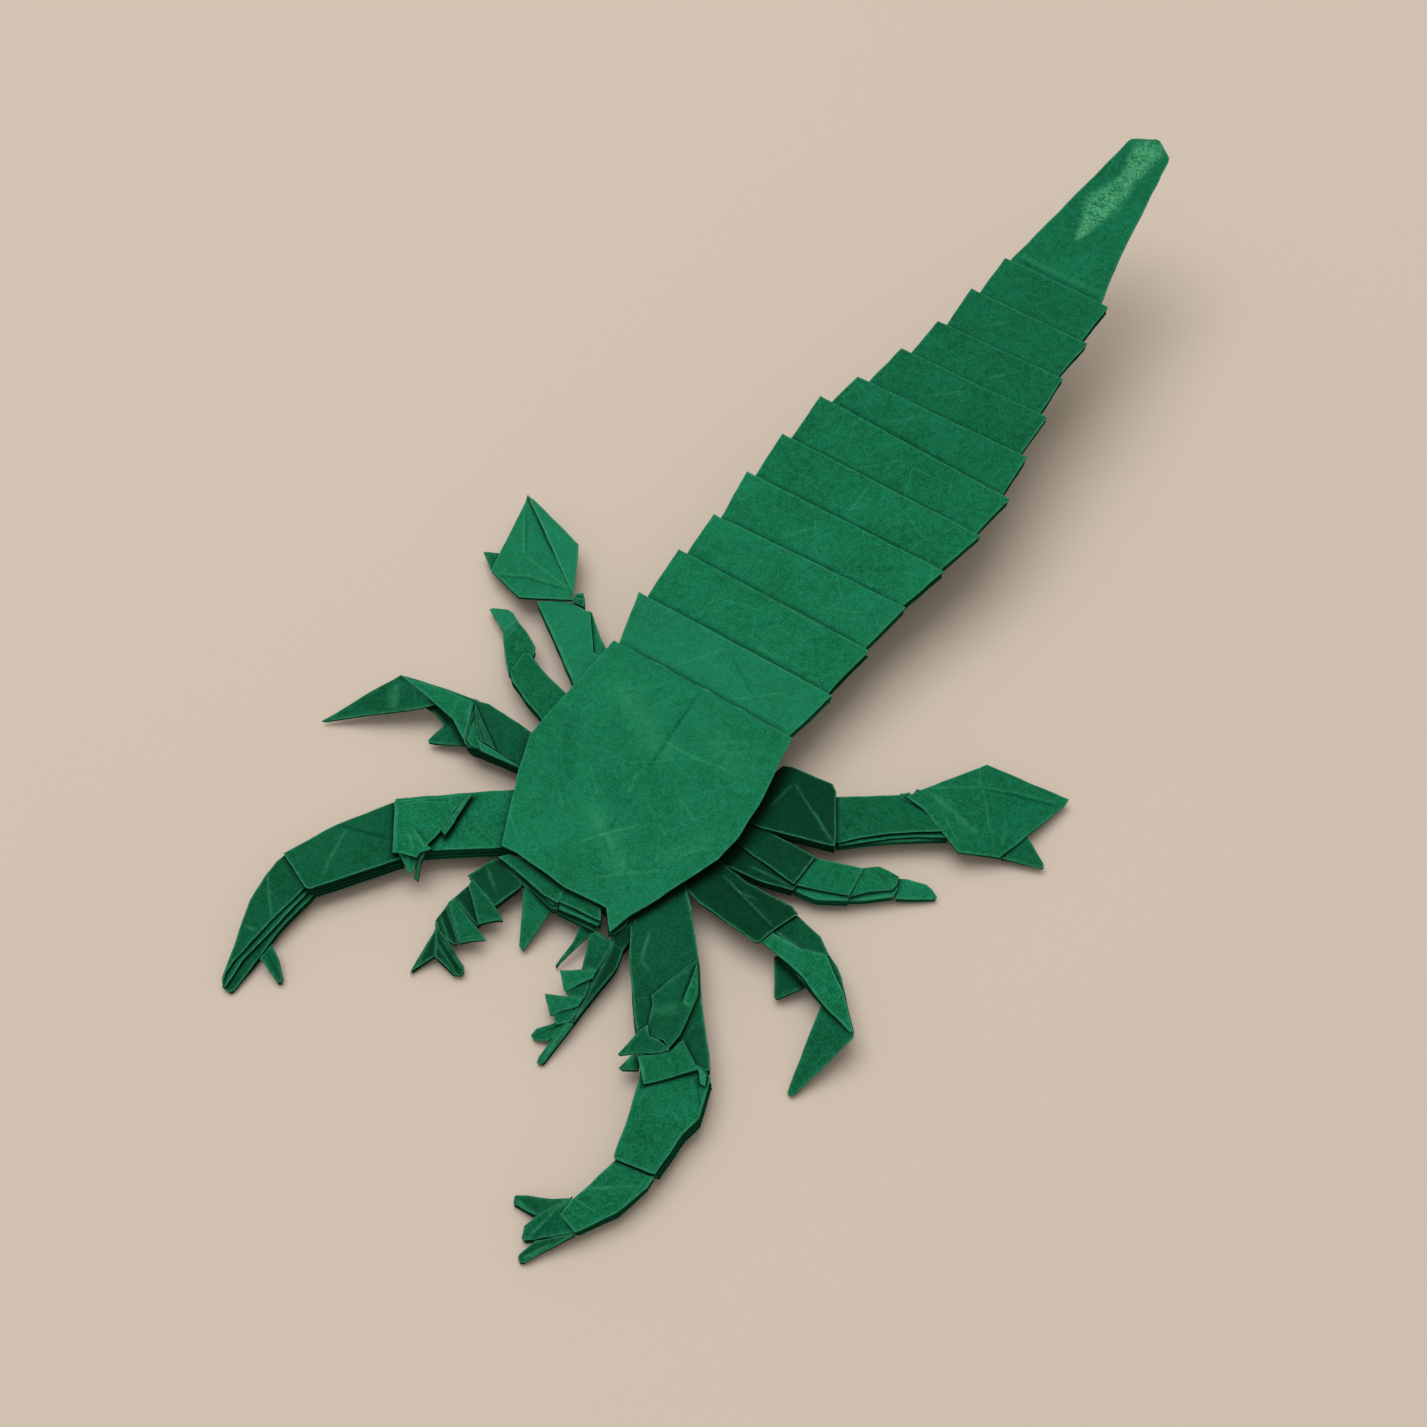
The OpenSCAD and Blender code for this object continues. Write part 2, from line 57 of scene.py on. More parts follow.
# Pale patch on the tail spine: x, y and half width along its middle line
RUBBED = [(0.5, 121.8, 0.6), (0.1, 131.2, 3.7), (1.0, 138.6, 2.0), (0.6, 146.5, 3.4)]

meshes = {}  # piece name: list of (vertices, faces, shades)
packs = []  # every pack of sheets, built once all are known


# Outlines
def clockwise(corners):
    return sum(a[0] * b[1] - b[0] * a[1] for a, b in zip(corners, corners[1:] + corners[:1])) < 0


def side_normals(pts):
    d = np.roll(pts, -1, axis=0) - pts
    d /= np.maximum(np.linalg.norm(d, axis=1, keepdims=True), 1e-9)
    return np.stack([d[:, 1], -d[:, 0]], axis=1)


def moved_sides(pts, out):
    """Moves each side outward by its own distance and finds the corners again, each at most 1.5 mm away."""
    n = side_normals(pts)
    n_before, out_before = np.roll(n, 1, axis=0), np.roll(out, 1)
    made = pts.copy()
    for i in range(len(pts)):
        a = np.array([n_before[i], n[i]])
        if abs(np.linalg.det(a)) > 0.35:
            step = np.linalg.solve(a, [out_before[i], out[i]])
        else:  # the sides are nearly in line
            m = n_before[i] + n[i]
            step = m / max(np.linalg.norm(m), 0.3) * (out_before[i] + out[i]) / 2
        made[i] += step * min(1, 1.5 / max(np.linalg.norm(step), 1e-9))
    return made


def inward(pts, d):
    n = side_normals(pts)
    m = n + np.roll(n, 1, axis=0)
    m /= np.maximum((m * m).sum(axis=1, keepdims=True) / 2, 0.45)
    return pts - m * d


def fine_outline(pts, step, wobble, seed):
    """Points along the outline. A side folded by hand isn't perfectly straight."""
    n = side_normals(pts)
    rows = []
    for i, a in enumerate(pts):
        b = pts[(i + 1) % len(pts)]
        length = np.linalg.norm(b - a)
        k = max(1, round(length / step))
        for j in range(k):
            s = j / k
            p = a + (b - a) * s
            ease = min(1, min(s, 1 - s) * length / SIDE_EASE)
            wave = noise.noise(Vector((p[0] / SIDE_WAVE, p[1] / SIDE_WAVE, seed)))
            rows.append(p + n[i] * wobble * ease * wave)
    return np.array(rows)


def inside(pts, ring):
    hit = np.zeros(len(pts), bool)
    for a, b in zip(ring, np.roll(ring, -1, axis=0)):
        crosses = (a[1] > pts[:, 1]) != (b[1] > pts[:, 1])
        dy = b[1] - a[1] if abs(b[1] - a[1]) > 1e-12 else 1e-12
        hit ^= crosses & (pts[:, 0] < (b[0] - a[0]) * (pts[:, 1] - a[1]) / dy + a[0])
    return hit


def from_segment(pts, a, b):
    """Distance of each point from a segment, and where along it, from 0 to 1."""
    a, b = np.array(a, float), np.array(b, float)
    d = b - a
    s = np.clip(((pts - a) @ d) / max(d @ d, 1e-12), 0, 1)
    return np.linalg.norm(pts - (a + s[:, None] * d), axis=1), s


def from_ring(pts, ring):
    return np.min([from_segment(pts, a, b)[0] for a, b in zip(ring, np.roll(ring, -1, axis=0))], axis=0)


# Height of a panel's upper face
def smooth_height(pts, corners):
    """A plane through the corners as well as one fits, bent so that it meets each corner."""
    xy, z = corners[:, :2], corners[:, 2]
    a = np.c_[xy, np.ones(len(xy))]
    plane = np.linalg.lstsq(a, z, rcond=None)[0]
    rest = z - a @ plane
    d = np.linalg.norm(pts[:, None] - xy[None], axis=2)
    w = 1 / (d + 0.15) ** 2.5
    return np.c_[pts, np.ones(len(pts))] @ plane + (w @ rest) / w.sum(axis=1)


def folded_height(pts, marks, count, folds):
    """Flat facets between fold lines. The first count marks are the outline, and the rest lie inside it."""
    sides = [(i, (i + 1) % count) for i in range(count)] + folds
    verts, _, faces, ids, _, _ = delaunay_2d_cdt([Vector(m[:2]) for m in marks], sides, [], 1, 1e-5, True)
    z = [marks[i[0]][2] if i else 0 for i in ids]
    best, height = np.full(len(pts), -1e9), np.zeros(len(pts))
    for f in faces:
        a, b, c = (np.array(verts[i][:2]) for i in f)
        m = np.array([b - a, c - a]).T
        if abs(np.linalg.det(m)) < 1e-6:
            continue
        uv = (pts - a) @ np.linalg.inv(m).T
        bary = np.c_[1 - uv.sum(axis=1), uv]
        least = bary.min(axis=1)
        use = least > best
        best[use] = least[use]
        height[use] = bary[use] @ np.array([z[i] for i in f])
    return height


def waves(pts, seed, size):
    """The slight unevenness of handled paper."""
    return np.array([
        size * noise.noise(Vector((x / LONG_WAVE, y / LONG_WAVE, seed)))
        + 0.35 * size * noise.noise(Vector((x / SHORT_WAVE, y / SHORT_WAVE, seed + 5)))
        for x, y in pts])


def creased(pts, z, wear_and_painted_shading, creases):
    """Raises the paper along creases and pales it, as wear and a painted highlight, or sinks it and paints
    shade where the height is negative.
    """
    for x0, y0, x1, y1, h, *width in creases:
        w = width[0] if width else CREASE_WIDTH
        d, s = from_segment(pts, (x0, y0), (x1, y1))
        ends = np.clip(np.minimum(s, 1 - s) * 5 + 0.25, 0, 1)
        profile = np.exp(-((d / w) ** 2)) * ends
        z = z + h * profile
        wear_and_painted_shading = wear_and_painted_shading + np.sign(h) * min(1, abs(h) * 6) * np.exp(-((d / (0.8 * w)) ** 2)) * ends * 0.8
    return z, wear_and_painted_shading


# Marks on the paper, and painted shade in crevices
def rubbed(pts):
    """How much the tail spine is rubbed pale at each point, from 0 to 1."""
    share = np.zeros(len(pts))
    for (x0, y0, w0), (x1, y1, w1) in zip(RUBBED, RUBBED[1:]):
        d, s = from_segment(pts, (x0, y0), (x1, y1))
        share = np.maximum(share, 1 - d / (w0 + (w1 - w0) * s))
    return np.clip(2 * share, 0, 1)


def beside(pts, z, neighbours):
    """How deep in the crevice beside a pack that laps over this one each point lies, from 0 to 1: how much
    painted shade it gets.
    """
    painted_gap_shade = np.zeros(len(pts))
    for corners in neighbours:
        step = smooth_height(pts, corners) - z
        d = from_ring(pts, corners[:, :2])
        d[inside(pts, corners[:, :2])] = 0
        reach = 0.16 + 0.3 * np.maximum(step, 0)
        painted_gap_shade = np.maximum(painted_gap_shade, np.clip((step - 0.1) / 0.3, 0, 1) * np.exp(-((d / reach) ** 2)))
    return painted_gap_shade


# Mesh points
def grid_points(low, high, pitch, seed):
    rng = random.Random(seed)
    rows, y, odd = [], low[1], 0
    while y < high[1]:
        x = low[0] + odd * pitch / 2
        while x < high[0]:
            dx, dy = rng.uniform(-GRID_SHIFT, GRID_SHIFT), rng.uniform(-GRID_SHIFT, GRID_SHIFT)
            rows.append((x + dx * pitch, y + dy * pitch))
            x += pitch
        y += pitch * GRID_ROW
        odd = 1 - odd
    return rows


def line_points(lines):
    """Points along creases and folds, which need a fine mesh."""
    rows = []
    for x0, y0, x1, y1, *_ in lines:
        a, b = np.array((x0, y0)), np.array((x1, y1))
        length = np.linalg.norm(b - a)
        across = np.array([-(b - a)[1], (b - a)[0]]) / max(length, 1e-9)
        k = max(2, round(length / CREASE_STEP))
        rows += [tuple(a + (b - a) * j / k + across * off) for j in range(k + 1) for off in CREASE_ROWS]
    return rows


def crevice_points(neighbours, low, high):
    """Points beside the outlines of the packs that lap over this one, where the shade needs a fine mesh."""
    rows = []
    for corners in neighbours:
        ring = corners[:, :2]
        for a, b, n in zip(ring, np.roll(ring, -1, axis=0), side_normals(ring)):
            k = max(1, round(np.linalg.norm(b - a) / CREVICE_STEP))
            rows += [a + (b - a) * (j + 0.5) / k + n * off for j in range(k) for off in CREVICE_ROWS]
    rows = np.array(rows).reshape(-1, 2)
    return rows[np.all((rows > low) & (rows < high), axis=1)]


def mesh_points(pack, ring, pitch, seed, upper, creases, above):
    """The inner ring of a sheet's outline, followed by the points inside it."""
    low, high = ring[2].min(axis=0), ring[2].max(axis=0)
    folds = [(*pack.marks[a][:2], *pack.marks[b][:2]) for a, b in pack.folds]
    rows = [grid_points(low, high, pitch, seed) + line_points(creases + folds)]
    if upper:
        rows.append(inward(ring[0], EDGE_ROW))
    rows.append(crevice_points(above, low, high))
    grid = np.vstack([np.array(r).reshape(-1, 2) for r in rows])
    grid = grid[inside(grid, ring[2])]
    return np.vstack([ring[2], grid[from_ring(grid, ring[2]) > CLEAR]])


def triangles(pts, ring):
    """The mesh's points, its triangles inside the outline, and which point each given one has become."""
    n = len(ring)
    sides = [(i, (i + 1) % n) for i in range(n)]
    made, _, faces, ids, _, _ = delaunay_2d_cdt([Vector(p) for p in pts], sides, [], 1, 1e-4, True)
    middles = np.array([np.mean([made[i] for i in f], axis=0)[:2] for f in faces])
    faces = [f for f, within in zip(faces, inside(middles, ring)) if within]  # keeps notches open
    place = {g: i for i, given in enumerate(ids) for g in given}
    return np.array([v[:2] for v in made]), faces, place


# One thin sheet: an upper face of m points, three rings of n points round its edge, and an under face
def shell_points(top, ring, z, thick):
    m, n, r = len(top), len(ring[0]), thick / 2
    rise = math.sqrt(r * r - (0.7 * r) ** 2)
    return np.vstack([
        np.c_[top, z[:m]], np.c_[ring[1], z[m:m + n] - r + rise], np.c_[ring[0], z[m + n:] - r],
        np.c_[ring[1], z[m:m + n] - r - rise], np.c_[top, z[:m] - thick]])


def shell_faces(faces, place, m, n):
    over, edge, under, down = m, m + n, m + 2 * n, m + 3 * n
    out = [tuple(f) for f in faces] + [tuple(down + i for i in reversed(f)) for f in faces]
    for i in range(n):
        j = (i + 1) % n
        a, b = place.get(i), place.get(j)
        if a is None or b is None:
            continue
        if a != b:
            out += [(a, over + i, over + j, b), (down + b, under + j, under + i, down + a)]
        else:
            out += [(a, over + i, over + j), (down + b, under + j, under + i)]
        out += [(over + i, edge + i, edge + j, over + j), (edge + i, under + i, under + j, edge + j)]
    return out


def spread(m, n, *values):
    """A value for each point of a sheet, from those of its upper face, three rings and under face."""
    return np.concatenate([np.broadcast_to(v, size) for v, size in zip(values, (m, n, n, n, m))])


def sheet(pack, thick, tone, seed, lower, outward, above):
    """Adds a sheet to its piece. lower: its depth under the pack's face at each corner. outward: how far
    each side of an inner sheet stands out, None for the upper sheet. above: the packs that lap over it."""
    upper = outward is None
    xy = pack.corners[:, :2] if upper else moved_sides(pack.corners[:, :2], outward)
    pitch, creases = (pack.pitch, pack.creases) if upper else (INNER_PITCH, [])
    ring = [fine_outline(xy, min(pitch, OUTLINE_STEP), pack.wobble, seed)]
    ring += [inward(ring[0], 0.3 * thick / 2), inward(ring[0], thick / 2)]
    top, faces, place = triangles(mesh_points(pack, ring, pitch, seed, upper, creases, above), ring[2])
    m, n = len(top), len(ring[0])

    every = np.vstack([top, ring[1], ring[0]])
    if pack.folds:
        z = folded_height(every, pack.marks, len(pack.corners), pack.folds)
    else:
        z = smooth_height(every, pack.corners)
    z = z - smooth_height(every, lower)
    edge = from_ring(every, ring[0])
    z = z + waves(every, seed % 7 * 3.7, pack.uneven) * np.clip(edge / 2.5, 0.25, 1)
    z, wear_and_painted_shading = creased(every, z, EDGE_WEAR_AND_HIGHLIGHT * np.exp(-((edge / EDGE_WIDTH) ** 2)), creases)
    z = np.maximum(z, thick + 0.02)
    verts = shell_points(top, ring, z, thick)

    if upper:
        painted_gap_shade = beside(every, z, above)
        # The edge's pale line is wear and a painted highlight; the outline and under face get painted shade
        wear_and_painted_shading = spread(m, n, wear_and_painted_shading[:m], EDGE_WEAR_AND_HIGHLIGHT, 0.0, 0.0, 0.0)
        painted_gap_shade = spread(m, n, painted_gap_shade[:m], painted_gap_shade[m:m + n], painted_gap_shade[m + n:], 0.6, 0.3)
    else:  # only its pale edge shows, worn and partly a painted highlight, between two bands of painted shade
        wear_and_painted_shading = spread(m, n, 0.0, 0.0, 0.3, 0.0, 0.0)
        painted_gap_shade = spread(m, n, 0.85, 0.85, 0.15, 0.85, 0.3)
    # The belly lies under the carapace, so it gets painted shade all over
    if pack.name == "belly":
        painted_gap_shade = np.full(len(verts), 0.9)
    rub = rubbed(verts[:, :2]) if pack.name == "tail_spine" else np.zeros(len(verts))
    shades = dict(wear_and_painted_shading=wear_and_painted_shading, tone=np.full(len(verts), tone), rub=rub, painted_gap_shade=painted_gap_shade)
    meshes.setdefault(pack.name, []).append((verts, shell_faces(faces, place, m, n), shades))


# Packs of sheets
# tone is painted light (above 0) or painted shade (below 0) on a pack's facets
def panel(name, corners, layers=2, thick=0.24, drop=0.42, grow=None, inner=(), folds=(), creases=(),
          tone=0, pitch=0.7, uneven=0.16, wobble=0.12):
    """A pack of pressed sheets. corners: its upper face's, going round. drop: from a sheet to the next.
    grow: side number: how far each further sheet stands out there. inner: points inside the outline for
    folds. creases: x, y at both ends, height and, where it isn't the usual one, width."""
    n, grow = len(corners), grow or {}
    if clockwise(corners):
        corners = corners[::-1]
        folds = [tuple(n - 1 - i if i < n else i for i in f) for f in folds]
        grow = {(n - 2 - i) % n: g for i, g in grow.items()}
    packs.append(SimpleNamespace(
        name=name, corners=np.array(corners, float), marks=corners + list(inner), layers=layers,
        thick=thick, drop=drop, grow=grow, folds=list(folds), creases=list(creases), tone=tone,
        pitch=pitch, uneven=uneven, wobble=wobble))


def laps_over(other, pack):
    """Whether any of the other pack's outline comes near this pack and stands above it."""
    a, b = other.corners, pack.corners
    ahead = np.all(a[:, :2].max(axis=0) > b[:, :2].min(axis=0) - 0.5)
    behind = np.all(a[:, :2].min(axis=0) < b[:, :2].max(axis=0) + 0.5)
    return ahead and behind and a[:, 2].max() > b[:, 2].min() + 0.15


def build_pack(number, pack):
    rng = random.Random(number)
    shape, drop = pack.corners, pack.drop
    above = [p.corners for p in packs if p is not pack and p.name != "belly" and laps_over(p, pack)]
    for k in range(pack.layers):
        thick = 0.55 * drop if k else pack.thick
        room = np.maximum(shape[:, 2] - thick - 0.03, 0)  # keeps every sheet above the table
        lower = np.c_[shape[:, :2], np.minimum(k * drop, room * k / max(1, pack.layers - 1))]
        seed = number * 1.37 + k * 0.11
        if k:
            out = [rng.uniform(-RAGGED, 0.2 * RAGGED) + k * pack.grow.get(i, 0) for i in range(len(shape))]
            # Each inner sheet is darker than the upper one, as painted shade, by an amount that varies a
            # little at random
            tone = pack.tone - (0.2 + rng.uniform(-0.15, 0.15))
            sheet(pack, thick, tone, seed, lower, np.array(out), ())
        else:
            sheet(pack, thick, pack.tone, seed, lower, None, above)


# Body
# Rear edge of the carapace and of each tail segment: left corner x, y, right corner x, y
SEAMS = [
    (-18.7, 11.9, 14.6, 11.9), (-20.8, 21.4, 15.5, 21.3), (-20.3, 31.5, 15.8, 31.1),
    (-19.5, 40.1, 16.3, 40.8), (-19.9, 50.1, 17.7, 49.7), (-19.4, 59.7, 19, 58.5),
    (-18.5, 69.7, 19.3, 67), (-15.3, 76.1, 17.3, 75.8), (-12.4, 85.1, 16, 84.5),
    (-10.3, 93.3, 14.1, 92.9), (-9.3, 102.6, 13.8, 101.5), (-8, 111.6, 12.8, 110.4),
]
SEGMENTS = len(SEAMS) - 1
# Painted light and shade of each tail segment
SEGMENT_PAINTED_SHADING = [0.45, 0.05, 0.15, 0.05, -0.05, -0.1, -0.2, -0.28, -0.27, -0.3, -0.28]  # darker to the rear
SEGMENT_CREASES = [
    [(-8.7, 12.6, -2.7, 20, 0.09), (-2.7, 20, 5.8, 14.8, -0.08), (3, 13, 9, 18, 0.08)],
    [(-10.1, 23.5, -10.2, 27, 0.08), (0, 22.6, 6.4, 23.5, 0.08), (-4, 24, 2, 29, -0.06)],
    [(-2.4, 33.1, -2.4, 37.2, -0.09), (5, 34, 11, 36.5, 0.06)],
    [(-8, 42, -4, 47, 0.06), (6, 43, 12, 47, -0.06)],
    [(-16.2, 56.4, -11.7, 53.3, -0.09), (-1.5, 52, -1.3, 58.5, 0.09), (5, 53, 9, 56, 0.06)],
    [(-10.6, 68, -9, 63.4, 0.08), (2, 61, 7, 65.5, -0.06)],
    [(-6, 71, -1, 75, 0.06), (8, 70, 9, 74, -0.06)],
    [(-3, 79, 2, 83, 0.06)],
    [(3, 87, 8, 91.5, 0.06), (-6, 88, -4, 92, -0.06)],
    [(-4, 96, 1, 100, 0.06)],
    [(2, 104, 6, 109, -0.06)],
]
SEAM_WIDTH, SEAM_DEPTH, FAINT_SEAM_DEPTH, FAINT_FROM = 0.28, -0.15, -0.07, 7  # shade beside a covering edge
REAR_HEIGHT, TAIL_RISE = 9, 13  # carapace's rear edge above the table, and the last segment's above that
SEGMENT_LENGTH, LAP, LAP_DEPTH, FLARE = 9, 2.4, 0.75, 1.5
BELLY_SHEETS, BELLY_LOW = 15, 0.45


def back_height(i):
    """Height of a seam's edge above the table."""
    return REAR_HEIGHT + TAIL_RISE * i / SEGMENTS


def segment(i):
    """A pleat of the tail. It starts under the last one, and its rear corners stand out past the next."""
    lx, ly, rx, ry = SEAMS[i]
    lx1, ly1, rx1, ry1 = SEAMS[i + 1]
    z0, z1 = back_height(i) - LAP_DEPTH, back_height(i + 1)
    front = z0 - (z1 - z0) / SEGMENT_LENGTH * LAP
    depth = SEAM_DEPTH if i < FAINT_FROM else FAINT_SEAM_DEPTH
    seam = (lx + 0.8, ly + 0.75, rx - 0.8, ry + 0.7, depth, SEAM_WIDTH)
    panel(f"segment_{i + 1:02d}", [
        (lx + FLARE, ly - LAP, front), (lx1, ly1, z1), (rx1, ry1, z1), (rx - FLARE, ry - LAP, front)],
        creases=[seam] + SEGMENT_CREASES[i], layers=4, thick=0.28, drop=0.45, tone=SEGMENT_PAINTED_SHADING[i],
        pitch=0.75, uneven=0.26)


def belly_sheet(k):
    """One of the pressed layers under the carapace. The lowest lies flat on the table."""
    share = (k + 1) / (BELLY_SHEETS + 0.5)
    inset = 2.2 + 0.45 * math.sin(2.3 * k)
    outline = [
        (-18.7 + inset, 11.2), (-18.9 + inset, -8.6), (-16.2 + inset, -15), (-10 + inset, -24.6),
        (11.6 - inset, -25.2), (17.2 - inset, -11), (17.4 - inset, -5), (14.6 - inset, 11.2)]
    under_carapace = [6.05 + 0.065 * (y + 27) for x, y in outline]
    panel("belly", [
        (x, y, BELLY_LOW + (top - BELLY_LOW) * share) for (x, y), top in zip(outline, under_carapace)],
        layers=1, thick=0.34, tone=-0.3 + 0.15 * math.sin(5.1 * k), pitch=3, uneven=0.05, wobble=0.3)


panel("carapace", [
    (-18.7, 11.9, 9), (-18.7, -9.2, 7.6), (-16, -15.5, 7.3), (-10.1, -26.9, 6.5), (-7.4, -26.6, 6.5),
    (1.5, -27.3, 6.4), (8.6, -26.6, 6.3), (11.1, -29.2, 5.5), (12, -26.2, 6.2), (17.2, -11.1, 7),
    (17.6, -6.8, 7.5), (16.8, 0.8, 8), (14.6, 11.9, 9)],
    inner=[(-2, 11.5, 9.35), (0.6, -26.4, 6.7)],
    folds=[(13, 14), (6, 8)],
    creases=[
        (-1.7, 10.5, 0, -4.6, -0.15), (0.2, -6, 1.2, -12, -0.06), (1.2, -13.6, 1.5, -16.5, -0.12),
        (-0.9, -20.3, 1.7, -16.8, 0.15), (1.7, -16.8, 4.4, -13.4, 0.12), (-0.9, 0.7, 3.4, 0.6, 0.12),
        (3.4, 0.6, 10.4, 1.9, 0.11), (-7.7, -8.8, -3.2, -12.7, 0.08), (1.3, -17.6, 4.7, -20, -0.09),
        (7.5, -20.5, 10.6, -23.5, -0.08), (12.4, -13.7, 15.1, -10.1, 0.08), (-1, -6.1, 0.1, -9.9, 0.08),
        (-11.3, -12.8, -5.1, -18.1, 0.08), (-15, 2, -9, 7.5, 0.06), (-12.5, -3, -5.5, -1, -0.06),
        (5, -5, 11.5, -8.5, 0.08), (3.5, -24.5, 12, -17, 0.08), (-8, -22.5, -2, -25, -0.06),
        (6.5, 5.5, 12.5, 9.5, 0.06), (-6.5, 3.5, -4, 9, 0.04), (9, -2, 15, -0.5, -0.06),
        (-15.5, -6, -9.5, -13, 0.06), (2.5, -9, 9, -12.5, 0.06), (-3, -14.5, 8, -21, 0.08, 1.6),
        (-14, 6, 2, -2, 0.05, 2.2), (-16, -3, -8, -16, -0.05, 2.0), (4, 6, 14, 2, 0.04, 2.4),
        (10, -16, 15, -8, 0.04, 1.5), (-6, -8, 2, -13, -0.04, 1.8)],
    thick=0.28, tone=0.2, uneven=0.35)
for i in range(SEGMENTS):
    segment(i)
panel("tail_spine", [
    (-7, 109.5, 21.4), (-6.9, 112.4, 22.1), (-3.5, 147.2, 26.9), (-3.2, 147.7, 27), (0.5, 150.1, 27),
    (1.3, 150, 26.9), (4.6, 147.2, 26.5), (5, 146, 26.4), (8.4, 124.3, 23.6), (9.8, 117, 22.9),
    (11.2, 111.1, 22), (11.2, 109, 21.3)],
    creases=[(-7, 112.4, 11, 111.2, SEAM_DEPTH, SEAM_WIDTH), (-6.5, 113.4, 11, 112.6, 0.05, 0.6)],
    layers=3, thick=0.26, drop=0.4, tone=-0.15, pitch=0.6, uneven=0.12)
for k in range(BELLY_SHEETS):
    belly_sheet(k)

# Left great arm: upper arm, forearm, raised elbow flap with its pleat and pointed ends, claw, thumb
panel("left_arm", [(-13.9, -15.4, 4.7), (-29.1, -28.5, 4.7), (-23.2, -36.1, 4.7), (-11.1, -26.6, 4.7),
    (-7.5, -23.6, 4.7)], layers=5, grow={2: 0.12, 3: 0.12})
panel("left_arm", [(-36.3, -45.1, 4.3), (-33.4, -37, 4.4), (-28.1, -27.2, 4.4), (-21.1, -35.2, 4.4),
    (-25.1, -41.5, 4.4), (-29, -47.5, 4.3), (-29.8, -47.7, 4.3)],
    creases=[(-33.1, -36.8, -24.9, -34.2, -0.16), (-31.5, -36.6, -29.9, -42.4, 0.1),
    (-29.9, -42.4, -28.9, -44.8, 0.08)], layers=5, grow={3: 0.16, 4: 0.16}, tone=-0.55)
panel("left_arm", [(-28.5, -29.3, 5.5), (-20.6, -22.2, 5.4), (-19.7, -27.2, 5.5), (-19.4, -29.4, 5.6),
    (-19.4, -32.6, 5.7), (-18.4, -32.7, 5.7), (-19.4, -34.3, 5.7), (-19.2, -35.1, 5.5), (-22, -35.9, 5.5),
    (-22.8, -36.4, 5.4)], creases=[(-23.1, -31.2, -19.1, -32.3, -0.2), (-23.3, -32.4, -20.6, -34.2, 0.12),
    (-23.1, -31.3, -19, -33.4, 0.14), (-27.6, -29.6, -22.6, -36, 0.1), (-23.2, -33.8, -21.9, -35.8, -0.1)])
panel("left_arm", [(-20.4, -22.4, 5.8), (-19.7, -21.8, 5.8), (-18.8, -26.9, 5.9), (-18.6, -27.3, 5.9),
    (-18.3, -29.9, 5.9), (-19.3, -29.5, 5.8), (-19.6, -27.3, 5.8)], layers=1, thick=0.4)
panel("left_arm", [(-22.3, -35.8, 5.4), (-19.6, -34.1, 5.5), (-19.2, -35.3, 4.8), (-19, -36.7, 4),
    (-19.6, -37.1, 3.4), (-21, -36.3, 4.6)], creases=[(-21.4, -34.7, -19.3, -37.1, 0.15)], layers=1,
    tone=0.35)
panel("left_arm", [(-19.9, -35.2, 5.3), (-18.5, -32.6, 5.6), (-18.9, -33.5, 5.2), (-18.7, -35, 4.6),
    (-17.8, -37, 3), (-18.6, -37, 3.2), (-19, -36, 4)], creases=[(-19.6, -33.3, -17.9, -37, 0.15)],
    thick=0.4, tone=-1)
panel("left_claw", [(-36.3, -44.9, 3.7), (-36.6, -46.5, 3.6), (-36.3, -49.4, 3.5), (-35.4, -53.5, 3.2),
    (-33.7, -57.3, 2.9), (-31.9, -61.5, 2.2), (-30.6, -64.7, 1.7), (-29.9, -65.3, 1.5), (-30.6, -63.8, 1.9),
    (-30.8, -61.7, 2.3), (-30.5, -54.3, 3.2), (-30, -47.5, 3.8)],
    creases=[(-36.4, -48.6, -30.9, -53.8, 0.1), (-33.3, -57, -31, -56.7, 0.09),
    (-32.5, -58.7, -31, -56.9, -0.08)], layers=1, tone=-0.6)
panel("left_claw", [(-36.4, -44.6, 3.3), (-36.6, -46.4, 3.2), (-36.4, -49.3, 3.1), (-35.5, -53.5, 2.8),
    (-33.8, -57.2, 2.5), (-32, -61.5, 1.8), (-30.7, -64.7, 1.35), (-29.7, -65.6, 1.1), (-29.4, -65.2, 1.2),
    (-29.5, -64.4, 1.4), (-30, -60.9, 2), (-29.5, -54.1, 2.9), (-29.4, -47.1, 3.4)], layers=1, tone=-0.4)
panel("left_claw", [(-36.5, -44.5, 2.8), (-36.6, -46.3, 2.8), (-36.5, -49.2, 2.7), (-35.6, -53.4, 2.4),
    (-33.9, -57.2, 2.1), (-32, -61.5, 1.45), (-30.7, -64.6, 1), (-30, -65.5, 0.8), (-28.6, -65.6, 0.8),
    (-28.2, -64.9, 0.9), (-28.5, -60.2, 1.6), (-28.9, -54.6, 2.4), (-28.6, -46.9, 3)], layers=4, thick=0.3,
    tone=-0.65)
panel("left_claw", [(-28.1, -59.5, 2.3), (-28.2, -56.8, 2.4), (-26.1, -57.8, 2), (-23.7, -59.7, 1.3),
    (-23.5, -60.3, 1.2), (-24.1, -60.6, 1.1), (-26, -60, 1.5), (-27.4, -59.6, 2)],
    creases=[(-28.3, -58, -23.8, -60.1, -0.14)], layers=3, thick=0.3, drop=0.36, tone=-0.45)

